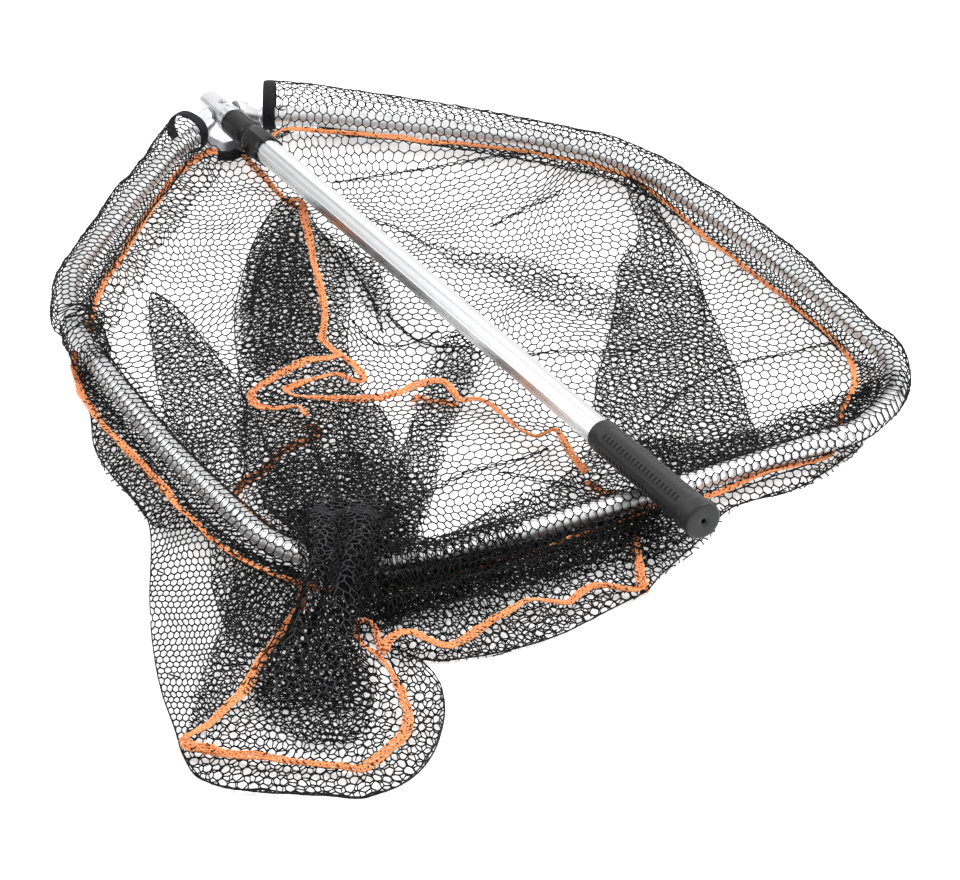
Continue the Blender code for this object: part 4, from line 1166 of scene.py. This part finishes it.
LOBE_LINE = [
    (477, 880, 5), (474, 878, 8), (453, 871, 7), (428, 857, 7), (404, 840, 7), (382, 819, 8),
    (361, 799, 8), (340, 785, 12), (324, 778, 20), (317, 771, 34)]
SEAM_LOW_LINE = [(8, 50, 8), (7, 72, 4), (6, 98, 1.5), (8, 131, 1.3), (8, 153, 1.5), (5, 168, 3)]
SEAM_LINE = [
    (8, 153, 3), (5, 168, 6), (17, 195, 7), (30, 230, 6), (43, 262, 6), (56, 296, 6),
    (69, 330, 6), (86, 365, 6), (103, 394, 6), (105, 413, 7), (102, 430, 8)]
CORNER_LEFT_LINE = [(477, 882, 6), (476, 890, 7), (468, 896, 6), (457, 905, 5)]
CORNER_RIGHT_LINE = [(26, 790, 6), (34, 806, 6), (46, 832, 6), (56, 852, 7), (62, 866, 8)]
LOOSE_END_LINE = [(-74, 48, 9), (-88, 54, 8), (-101, 60, 7), (-130, 76, 6)]

# name, frame part it replaces, path, width, seed, twist, lift, options
TAPES = (
    ("hem_tape_side_left", "hem_ribbon_left", hem_path(0.006, 0.373), 5.2, 51, 0.4, 0.0, {}),
    ("hem_tape_far", None, hem_path(0.373, 0.640), 4.6, 53, 0.35, 0.0, {}),
    ("hem_tape_side_right", "hem_ribbon_right", hem_path(0.640, 0.995), 4.0, 55, 0.4, 0.0, {}),
    ("base_tape_right", "base_ribbon", smooth_path(BASE_LINE[:27]), 5.6, 57, 0.6, 4.5, {}),
    ("base_tape_right_low", None, lowered(BASE_LINE[26:34], 4.5), 5.4, 66, 0.4, 0.0, {}),
    ("base_tape_far", None, smooth_path(BASE_LINE[33:]), 5.8, 67, 0.5, 4.0, {}),
    ("base_tape_left", None, smooth_path(BASE_LINE_LEFT[:10]), 5.4, 58, 0.6, 4.5, {}),
    ("base_tape_left_low", None, lowered(BASE_LINE_LEFT[9:], 4.0), 5.4, 68, 0.5, 0.0, {}),
    ("base_tape_under", None, smooth_path(UNDER_LINE), 6.0, 60, 0.5, 1.0, {}),
    ("base_tape_ring", None, smooth_path(RING_LINE, 1.5), 3.4, 74, 0.3, 0.5,
     dict(cords=3, gathers=0.25)),
    ("base_tape_loop", None, smooth_path(LOOP_LINE), 6.6, 62, 0.28, 3.0, {}),
    ("base_tape_lobe", None, smooth_path(LOBE_LINE), 6.8, 64, 0.35, 3.5, {}),
    ("seam_tape_apex", "seam_ribbon_apex", smooth_path(SEAM_LINE), 4.8, 59, 0.4, 5.0, {}),
    ("seam_tape_apex_low", None, smooth_path(SEAM_LOW_LINE), 3.4, 69, 0.3, 0.0, {}),
    ("seam_tape_corner_left", "seam_ribbon_left", smooth_path(CORNER_LEFT_LINE),
     7.4, 61, 0.5, 4.0, {}),
    ("seam_tape_corner_right", "seam_ribbon_right", smooth_path(CORNER_RIGHT_LINE),
     6.0, 63, 0.6, 4.5, {}),
    ("tape_end_loose", "tape_tail", smooth_path(LOOSE_END_LINE), 7.0, 65, 0.6, 1.5,
     dict(slot="black_tape")),
)
for name, node, path, width, seed, twist, lift, options in TAPES:
    tape = knit_tape(name, path, width, seed, twist, lift, **options)
    if node:
        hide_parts(node)


# ================================================================= woven black binding
def woven_band(name, loops, node, thick, closed=True):
    """A band skinned through loops of the same number of points."""
    n = len(loops[0])
    faces = [(j * n + i, j * n + (i + 1) % n, (j + 1) * n + (i + 1) % n, (j + 1) * n + i)
             for j in range(len(loops) - 1) for i in range(n if closed else n - 1)]
    ob = add_mesh(name, np.concatenate(loops), faces, "black_tape")
    solid = ob.modifiers.new("thickness", "SOLIDIFY")
    solid.thickness = thick * 0.001
    solid.offset = 0
    rounding = ob.modifiers.new("subdivision", "SUBSURF")
    rounding.levels = rounding.render_levels = 1
    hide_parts(node)


def oval_loop(centre, direction, half_width, up, down, seed):
    """An uneven oval loop, in the plane at right angles to a direction."""
    t = np.asarray(direction, float)
    t /= np.linalg.norm(t)
    across = np.cross(t, [0, 0, 1.0])
    across /= np.linalg.norm(across)
    q = np.linspace(0, 2 * math.pi, 44, endpoint=False)
    phase = np.random.default_rng(seed).uniform(0, 6.28, 3)
    uneven = 1 + 0.7 * 0.05 * (np.sin(2 * q + phase[0]) + 0.6 * np.sin(3 * q + phase[1])
                               + 0.4 * np.sin(5 * q + phase[2]))
    x = np.cos(q) * half_width * uneven
    z = np.where(np.sin(q) > 0, np.sin(q) * up, np.sin(q) * down) * uneven
    return np.asarray(centre, float) + x[:, None] * across + z[:, None] * np.cross(across, t)


def sleeve_binding(tag, start, way, centre_z, radius, half_width, off, seed):
    """The band round a sleeve mouth. way is +1 or -1, from the mouth into the sleeve."""
    centre, t = (row[0] for row in along_hoop(np.array([start])))
    outward = np.array([t[1], -t[0]])
    loops = []
    # place along the sleeve, size
    for x, grow in ((-5.0, 0.965), (-3.4, 0.995), (0.0, 1.01), (3.4, 1.005), (6.6, 0.985)):
        q = centre + t * way * x + outward * off
        loops.append(oval_loop((*q, centre_z), (*t, 0), half_width * grow,
                               (radius + 0.4) * grow, (radius - 0.2) * grow, seed))
    woven_band("sleeve_binding_" + tag, loops, "binding_band_" + tag, thick=1.5)


def apex_tape():
    """Tape along the edge of the yoke's web plate, under the stowed handle."""
    line = resample([(-30, 48, 8), (-20, 56, 8), (-10, 53.5, 8), (0, 58, 8), (10, 53.5, 8),
                     (20, 56, 8), (31, 49, 8)], step=2.0)
    lean, face = np.array([0.0, -0.62, 0.78]), np.array([0.0, 0.78, 0.62])
    rows = []
    # place across the tape, bulge
    for across, bulge in ((-3.4, 0.2), (-0.8, 0.9), (1.8, 1.1), (4.4, 0.7), (6.8, 0.0)):
        row = line + lean * across + face * bulge
        row[:, 2] = np.minimum(row[:, 2], under_handle(row) - 1.6)
        rows.append(row)
    woven_band("hem_tape_apex", rows, "apex_hem_tape", thick=1.2, closed=False)


sleeve_binding("right", start=HOOP_END, way=-1, centre_z=23.2, radius=22.3, half_width=25.8,
               off=15.4, seed=70)
sleeve_binding("left", start=0.0, way=1, centre_z=19.9, radius=18.2, half_width=19.9,
               off=9.8, seed=72)
apex_tape()


# ================================================================= hoop tube
def hoop_tube(sides=28):
    """The bent tube, with its closed ends turned in."""
    plan = resample(HOOP, step=7.0)
    n = len(plan)
    path = np.c_[plan, np.full(n, HOOP_Z)]
    t = np.gradient(path, axis=0)
    t /= np.linalg.norm(t, axis=1, keepdims=True)
    across = np.stack([t[:, 1], -t[:, 0], np.zeros(n)], 1)
    up = np.array([0, 0, 1.0])
    rings = np.stack([path + (across * math.cos(q) + up * math.sin(q)) * TUBE_RADIUS
                      for q in (2 * math.pi * k / sides for k in range(sides))], 1)
    caps = [path[end] + (rings[end] - path[end]) * 0.84 for end in (0, -1)]
    points = np.concatenate([rings.reshape(-1, 3), *caps])
    faces = [(i * sides + k, (i + 1) * sides + k, (i + 1) * sides + (k + 1) % sides,
              i * sides + (k + 1) % sides) for i in range(n - 1) for k in range(sides)]
    last, cap = (n - 1) * sides, n * sides
    for k in range(sides):
        after = (k + 1) % sides
        faces.append((k, after, cap + after, cap + k))
        faces.append((last + after, last + k, cap + sides + k, cap + sides + after))
    faces.append(tuple(range(cap, cap + sides)))
    faces.append(tuple(range(cap + sides, cap + 2 * sides))[::-1])
    tube = add_mesh("hoop_tube_bent", points, faces, "drawn_aluminium",
                    finish="hoop_aluminium")
    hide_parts("hoop_tube")


hoop_tube()

# ================================================================= handle
TILT = math.atan(HANDLE_SLOPE)
AXIS = np.array([0.0, math.cos(TILT), math.sin(TILT)])
AXIS_UP = np.array([0.0, -math.sin(TILT), math.cos(TILT)])
PIVOT = np.array([0.0, 0.0, PIVOT_Z])
INNER_FLATS = 24.1               # across the flats of the eight-sided bore


def around(count):
    return np.linspace(0, 2 * math.pi, count, endpoint=False)


def handle_ring(name, rows, angles, body, slot):
    """A closed ring profile round the handle.

    rows are (length along the handle, radius), each a number or one value per angle; angles
    run from the handle's top towards +X.
    """
    s, r = (np.array([np.broadcast_to(row[k], angles.shape) for row in rows]) for k in (0, 1))
    points = (PIVOT + s[..., None] * AXIS + (r * np.cos(angles))[..., None] * AXIS_UP
              + (r * np.sin(angles))[..., None] * np.array([1.0, 0, 0]))
    n, m = s.shape
    faces = [(i * m + k, i * m + (k + 1) % m, (i + 1) % n * m + (k + 1) % m, (i + 1) % n * m + k)
             for i in range(n) for k in range(m)]
    return add_mesh(name, points.reshape(-1, 3), faces, slot, body)


def octagon(angles, flats):
    """Radius of an octagon with a flat on top."""
    from_flat = (angles + math.pi / 8) % (math.pi / 4) - math.pi / 8
    return flats / 2 / np.cos(from_flat)


def button_spring():
    """The lock button's coil spring, copied in plated steel and carried with the handle base."""
    spring = place_object("button_coil_spring", frame["nodes"]["button_spring"].data.copy())
    spring.data.materials.clear()
    spring.data.materials.append(MAT["steel"])
    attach(spring, "handle_base")
    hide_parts("button_spring")
    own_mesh(spring)


def grip():
    """Rubber grip: six sunk panels with cross slots, a flared end with a dimple and a hole."""
    start, end, flare = 694.0, 856.0, 838.0
    panel_start, panel_end = 708.0, 834.0
    slot_start, slot_pitch, last_slot = 713.5, 5.75, 20
    angles = around(252)
    s = np.r_[start + 0.0, start + 0.25, start + 0.8, start + 2.0, np.arange(start + 5, 707, 3.0),
              np.arange(707, 836, 0.6), np.arange(836, end - 4, 0.7)]
    radius = np.interp(
        s, [start, start + 0.25, start + 0.8, start + 2.0, start + 12,
            flare - 2, flare + 1.5, flare + 3.4, flare + 5.2, end - 3.5],
        [13.3, 13.62, 13.85, 13.92, 13.98, 14.85, 15.0, 15.65, 16.05, 16.1])[:, None]
    column = s[:, None]
    # distance round the grip from the middle of the nearest panel
    arc = ((angles + math.radians(18) + math.pi / 6) % (math.pi / 3) - math.pi / 6) * radius
    from_end = np.minimum(column - panel_start, panel_end - column)
    reach = np.sqrt(arc ** 2 + np.minimum(from_end - 5.5, 0) ** 2)
    panel = (1 - smoothstep(reach, 4.6, 5.4)) * (from_end > -0.5)
    line = np.exp(-((reach - 5.9) / 0.32) ** 2) * (from_end > -1.2)
    k = (column - slot_start) / slot_pitch
    from_slot = np.abs(k - np.round(k)) * slot_pitch
    live = (np.round(k) >= 0) & (np.round(k) <= last_slot)
    slot = (1 - smoothstep(from_slot, 0.85, 1.35)) * (1 - smoothstep(np.abs(arc), 2.5, 3.1)) * live
    rows = list(zip(s, radius - 0.42 * panel - 0.16 * line - 1.45 * slot))
    # end face, from its rounded edge to the dimple and the hole: depth, radius
    face = ((2.6, 16.02), (1.8, 15.75), (1.1, 15.3), (0.55, 14.6), (0.25, 13.4), (0.05, 11.0),
            (0.0, 8.0), (0.0, 5.4), (0.12, 4.5), (0.5, 4.0), (0.75, 3.3), (0.85, 2.5),
            (1.1, 2.25), (2.6, 2.2), (3.4, 2.2))
    rows += [(end - depth, r) for depth, r in face]
    bore = octagon(angles, INNER_FLATS)
    rows += [(end - 3.4, bore), (start, bore)]
    ob = handle_ring("rubber_grip_moulded", rows, angles, "handle_outer", "grip_rubber")
    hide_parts("rubber_grip")


def collar_base():
    """Eight-sided sleeve with an arch cut over each flat of the tube."""
    angles = around(160)
    from_flat = (angles + math.pi / 8) % (math.pi / 4) - math.pi / 8
    arch = np.sqrt(np.clip(1 - (from_flat / math.radians(19.5)) ** 2, 0, 1))
    end = 96.5 - 4.6 * arch
    body = np.minimum(octagon(angles, 27.2), 14.62)
    bore = octagon(angles, INNER_FLATS)
    rows = [
        (58.5, 11.8), (58.5, 12.3), (59.0, 12.75), (60.6, 12.95), (61.0, 12.95), (61.4, 12.6),
        (62.2, 12.6), (62.6, 12.98), (63.4, 0.5 * octagon(angles, 27.3) + 6.6),
        (65.0, body), (78.0, body),
        (end - 5.0, np.minimum(octagon(angles, 27.1), 14.56)),
        (end - 1.0, np.minimum(octagon(angles, 26.6), 14.2)),
        (end - 0.3, octagon(angles, 26.0)), (end, octagon(angles, 25.4)),
        (end, bore), (66.6, bore), (66.6, 11.8)]
    ob = handle_ring("collar_base_arched", rows, angles, "handle_outer", "black_plastic")
    smooth_by_angle(ob)
    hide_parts("collar_base")


def locking_collar():
    """Ring with fine flutes between two plain bands, and one raised rib."""
    angles = around(288)
    flute = 0.5 + 0.5 * np.cos(angles * 48)
    from_rib = (angles + math.radians(18) + math.pi) % (2 * math.pi) - math.pi
    rib = np.exp(-(from_rib / math.radians(3.4)) ** 4)
    # length along the handle, radius, share of the flutes and rib
    profile = (
        (21.0, 10.3, 0), (21.0, 12.2, 0), (21.3, 12.7, 0), (21.9, 12.98, 0), (23.9, 13.05, 0),
        (24.3, 12.65, 0), (25.3, 12.65, 0), (25.7, 13.02, 0), (27.4, 13.05, 0),
        (28.2, 13.05, 0.9), (29.2, 13.05, 1), (51.0, 13.08, 1), (52.0, 13.06, 0.9),
        (52.8, 13.0, 0), (55.6, 12.9, 0), (56.8, 12.75, 0), (57.7, 12.45, 0), (58.0, 12.1, 0),
        (58.0, 11.8, 0), (29.0, 11.8, 0), (29.0, 10.3, 0))
    rows = [(s, r - 0.16 * share * flute + 0.55 * share * rib) for s, r, share in profile]
    ob = handle_ring("locking_collar_fluted", rows, angles, "lock_collar", "black_plastic")
    smooth_by_angle(ob)
    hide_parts("locking_collar")


button_spring()
grip()
collar_base()
locking_collar()


# ================================================================= cast yoke
def rod(bm, start, end, start_radius, end_radius, sides=30):
    """A closed round bar between two points, nearly level."""
    start, end = Vector(start), Vector(end)
    t = (end - start).normalized()
    across = t.cross(Vector((0, 0, 1))).normalized()
    up = t.cross(across)
    rings = []
    for c, r in ((start, start_radius), (end, end_radius)):
        rings.append([
            bm.verts.new((c + (across * math.cos(q) + up * math.sin(q)) * r
                          - Vector((0, PIVOT_Y, 0))) / 1000)
            for q in (2 * math.pi * k / sides for k in range(sides))])
    skin(bm, *rings)


def slab(bm, outline, bottom, top):
    """A plate between two heights."""
    skin(bm, *([bm.verts.new((x / 1000, (y - PIVOT_Y) / 1000, z / 1000)) for x, y in outline]
               for z in (bottom, top)))


def skin(bm, first, second):
    """Closes the solid between two rings of vertices."""
    n = len(first)
    for k in range(n):
        bm.faces.new((first[k], first[(k + 1) % n], second[(k + 1) % n], second[k]))
    bm.faces.new(first[::-1])
    bm.faces.new(second)


def on_hoop(x):
    """The hoop's centreline near the pivot, at x."""
    k = np.abs(HOOP_ALL[:60, 0] - abs(x)).argmin()
    return math.copysign(HOOP_ALL[k, 0], x), HOOP_ALL[k, 1]


def yoke_arm(bm, side):
    """Pivot boss, struts and hoop socket on one side."""
    # boss along X: start and end out from the middle, and their radii
    for start, end, start_radius, end_radius in (
            (14.5, 17.4, 8.9, 8.6), (17.0, 21.0, 8.6, 7.2), (20.6, 25.3, 7.4, 5.9)):
        rod(bm, (start * side, 0, PIVOT_Z), (end * side, 0, PIVOT_Z), start_radius, end_radius)
    # struts from the boss to the socket
    x, y = on_hoop(31.5 * side)
    rod(bm, (16.9 * side, 9.2, 23.1), (x, y, HOOP_Z + 0.2), 5.3, 6.5)
    x, y = on_hoop(27.0 * side)
    rod(bm, (19.5 * side, 3.0, 23.4), (x, y, HOOP_Z + 0.4), 6.4, 6.6)
    # socket shoulder, and the spigot inside the tube
    x0, y0 = on_hoop(29.6 * side)
    x1, y1 = on_hoop(35.6 * side)
    run_x, run_y = x1 - x0, y1 - y0
    rod(bm, (x0, y0, HOOP_Z), (x0 + 0.25 * run_x, y0 + 0.25 * run_y, HOOP_Z), 7.6, 8.9)
    rod(bm, (x0 + 0.2 * run_x, y0 + 0.2 * run_y, HOOP_Z), (x1, y1, HOOP_Z), 8.9, 8.9)
    u = Vector((run_x, run_y, 0)).normalized()
    rod(bm, (x1 - 2 * u.x, y1 - 2 * u.y, HOOP_Z), (x1 + 14 * u.x, y1 + 14 * u.y, HOOP_Z),
        6.9, 6.9)
    gusset = [(x * side, y) for x, y in ((18.0, 11.0), (20.5, 9.6), (31.5, 16.6), (30.0, 20.0))]
    if side < 0:
        gusset[1:] = gusset[:0:-1]
    slab(bm, gusset, 7.0, 18.0)


def cast_yoke():
    """Bars and plates, fused and rounded into one casting."""
    bm = bmesh.new()
    web = [(13.8, 27.5), (17.5, 12.5), (20.5, 10.0), (27.5, 16.5), (29.5, 29.0), (31.0, 38.5),
           (22.0, 42.0), (16.0, 49.5)]
    slab(bm, web + [(-x, y) for x, y in web[::-1]], 5.6, 9.3)
    for side in (1, -1):
        yoke_arm(bm, side)
    bmesh.ops.recalc_face_normals(bm, faces=bm.faces)
    mesh = bpy.data.meshes.new("cast_yoke")
    bm.to_mesh(mesh)
    bm.free()
    mesh.materials.append(MAT["cast_aluminium"])
    yoke = place_object("cast_yoke", mesh)
    fuse = yoke.modifiers.new("skin", "REMESH")
    fuse.mode = "VOXEL"
    fuse.voxel_size = 0.00065
    fuse.use_smooth_shade = True
    soften = yoke.modifiers.new("cast radii", "SMOOTH")
    soften.factor = 0.5
    soften.iterations = 4
    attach(yoke, "net_frame")
    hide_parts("yoke")


cast_yoke()

# ================================================================= carried-over frame parts
# part: material, bevel width in mm (0 for none), bevel segments
FINISH = {
    "hinge_barrel": ("cast_aluminium", 0.5, 3), "lock_button": ("steel", 0.25, 2),
    "ferrule": ("drawn_aluminium", 0.12, 2), "inner_tube": ("drawn_aluminium", 0.2, 2),
    "outer_tube": ("drawn_aluminium", 0.10, 2), "barrel_plug": ("black_plastic", 0.3, 2),
    "tube_rivet": ("steel", 0.1, 2), "hoop_rivet_left": ("steel", 0.15, 2),
    "hoop_rivet_right": ("steel", 0.15, 2), "pivot_pin": ("steel", 0.2, 2),
    "pivot_nut": ("steel", 0.25, 2), "thrust_washer_left": ("grey_nylon", 0.1, 2),
    "thrust_washer_right": ("grey_nylon", 0.1, 2), "guide_bush": ("grey_nylon", 0.15, 2),
    "lock_collet": ("grey_nylon", 0.1, 2), "collar_seal": ("seal_rubber", 0, 0),
    "tube_end_plug": ("grey_nylon", 0.2, 2)}


def finish_part(node, material, width, segments):
    ob = frame["nodes"][node]
    if not ob.material_slots:
        ob.data.materials.append(MAT[material])
    for slot in ob.material_slots:
        slot.link = "OBJECT"
        slot.material = MAT[material]
    if width:
        bevel = ob.modifiers.new("edge", "BEVEL")
        bevel.width = width * 0.001
        bevel.segments = segments
        bevel.limit_method = "ANGLE"
        bevel.angle_limit = math.radians(38)
        bevel.harden_normals = False
    smooth_by_angle(ob)


for node, settings in FINISH.items():
    finish_part(node, *settings)


# ================================================================= floor, world, lights, camera
def studio_floor(half=9, z=-0.0004):
    mesh = bpy.data.meshes.new("studio_floor")
    bm = bmesh.new()
    for x, y in ((-half, -half), (half, -half), (half, half), (-half, half)):
        bm.verts.new((x, y, z))
    bm.faces.new(bm.verts)
    bm.to_mesh(mesh)
    bm.free()
    mesh.materials.append(floor_material())
    place_object("studio_floor", mesh)


def studio_world():
    """White to the camera; to all else a tent, bright above and darker towards +X."""
    studio = bpy.data.worlds.new("studio")
    bpy.context.scene.world = studio
    studio.use_nodes = True
    tree = studio.node_tree
    place = add_node(tree, "ShaderNodeTexCoord").outputs["Generated"]
    towards = add_node(tree, "ShaderNodeVectorMath", {0: place, 1: (-0.62, -0.18, 0.76)},
                       operation="DOT_PRODUCT").outputs["Value"]
    grade = add_node(tree, "ShaderNodeMapRange", {
        "Value": towards, "From Min": -0.2, "From Max": 0.75,
        "To Min": 0.34, "To Max": 1.22}, interpolation_type="SMOOTHSTEP").outputs["Result"]
    seen = add_node(tree, "ShaderNodeLightPath").outputs["Is Camera Ray"]
    # inputs: factor, strength for other rays, strength for the camera
    strength = add_node(tree, "ShaderNodeMix", {0: seen, 2: grade, 3: 1.0}, data_type="FLOAT")
    feed(tree, tree.nodes["Background"],
         {"Color": (1, 1, 1, 1), "Strength": strength.outputs[0]})


def soft_box(name, location, size, power, target=(0, 0.1, 0)):
    light = bpy.data.lights.new(name, "AREA")
    light.shape = "RECTANGLE"
    light.size, light.size_y = size
    light.energy = power
    ob = place_object(name, light)
    ob.location = location
    aim = Vector(target) - Vector(location)
    ob.rotation_euler = aim.to_track_quat("-Z", "Y").to_euler()


def studio_camera():
    lens = bpy.data.cameras.new("camera")
    lens.sensor_fit = "HORIZONTAL"
    lens.sensor_width = 36.0
    lens.lens = 189.557
    lens.clip_end = 60
    camera = place_object("camera", lens)
    right = (-0.87279482, 0.48806631, 0.00452667)
    up = (-0.25019242, -0.45533656, 0.85444273)
    backward = (0.41908586, 0.74462064, 0.51952588)
    location = (1.83319, 3.34664, 2.20201)
    camera.matrix_world = Matrix((*zip(right, up, backward, location), (0, 0, 0, 1)))
    bpy.context.scene.camera = camera


studio_floor()
studio_world()
bpy.context.scene.view_settings.view_transform = "Standard"
bpy.context.scene.view_settings.look = "None"
soft_box("key", location=(-1.6, 0.9, 2.4), size=(1.8, 1.4), power=70)
soft_box("fill", location=(1.9, -1.2, 2.2), size=(2.4, 1.8), power=38)
studio_camera()

bpy.context.view_layer.update()
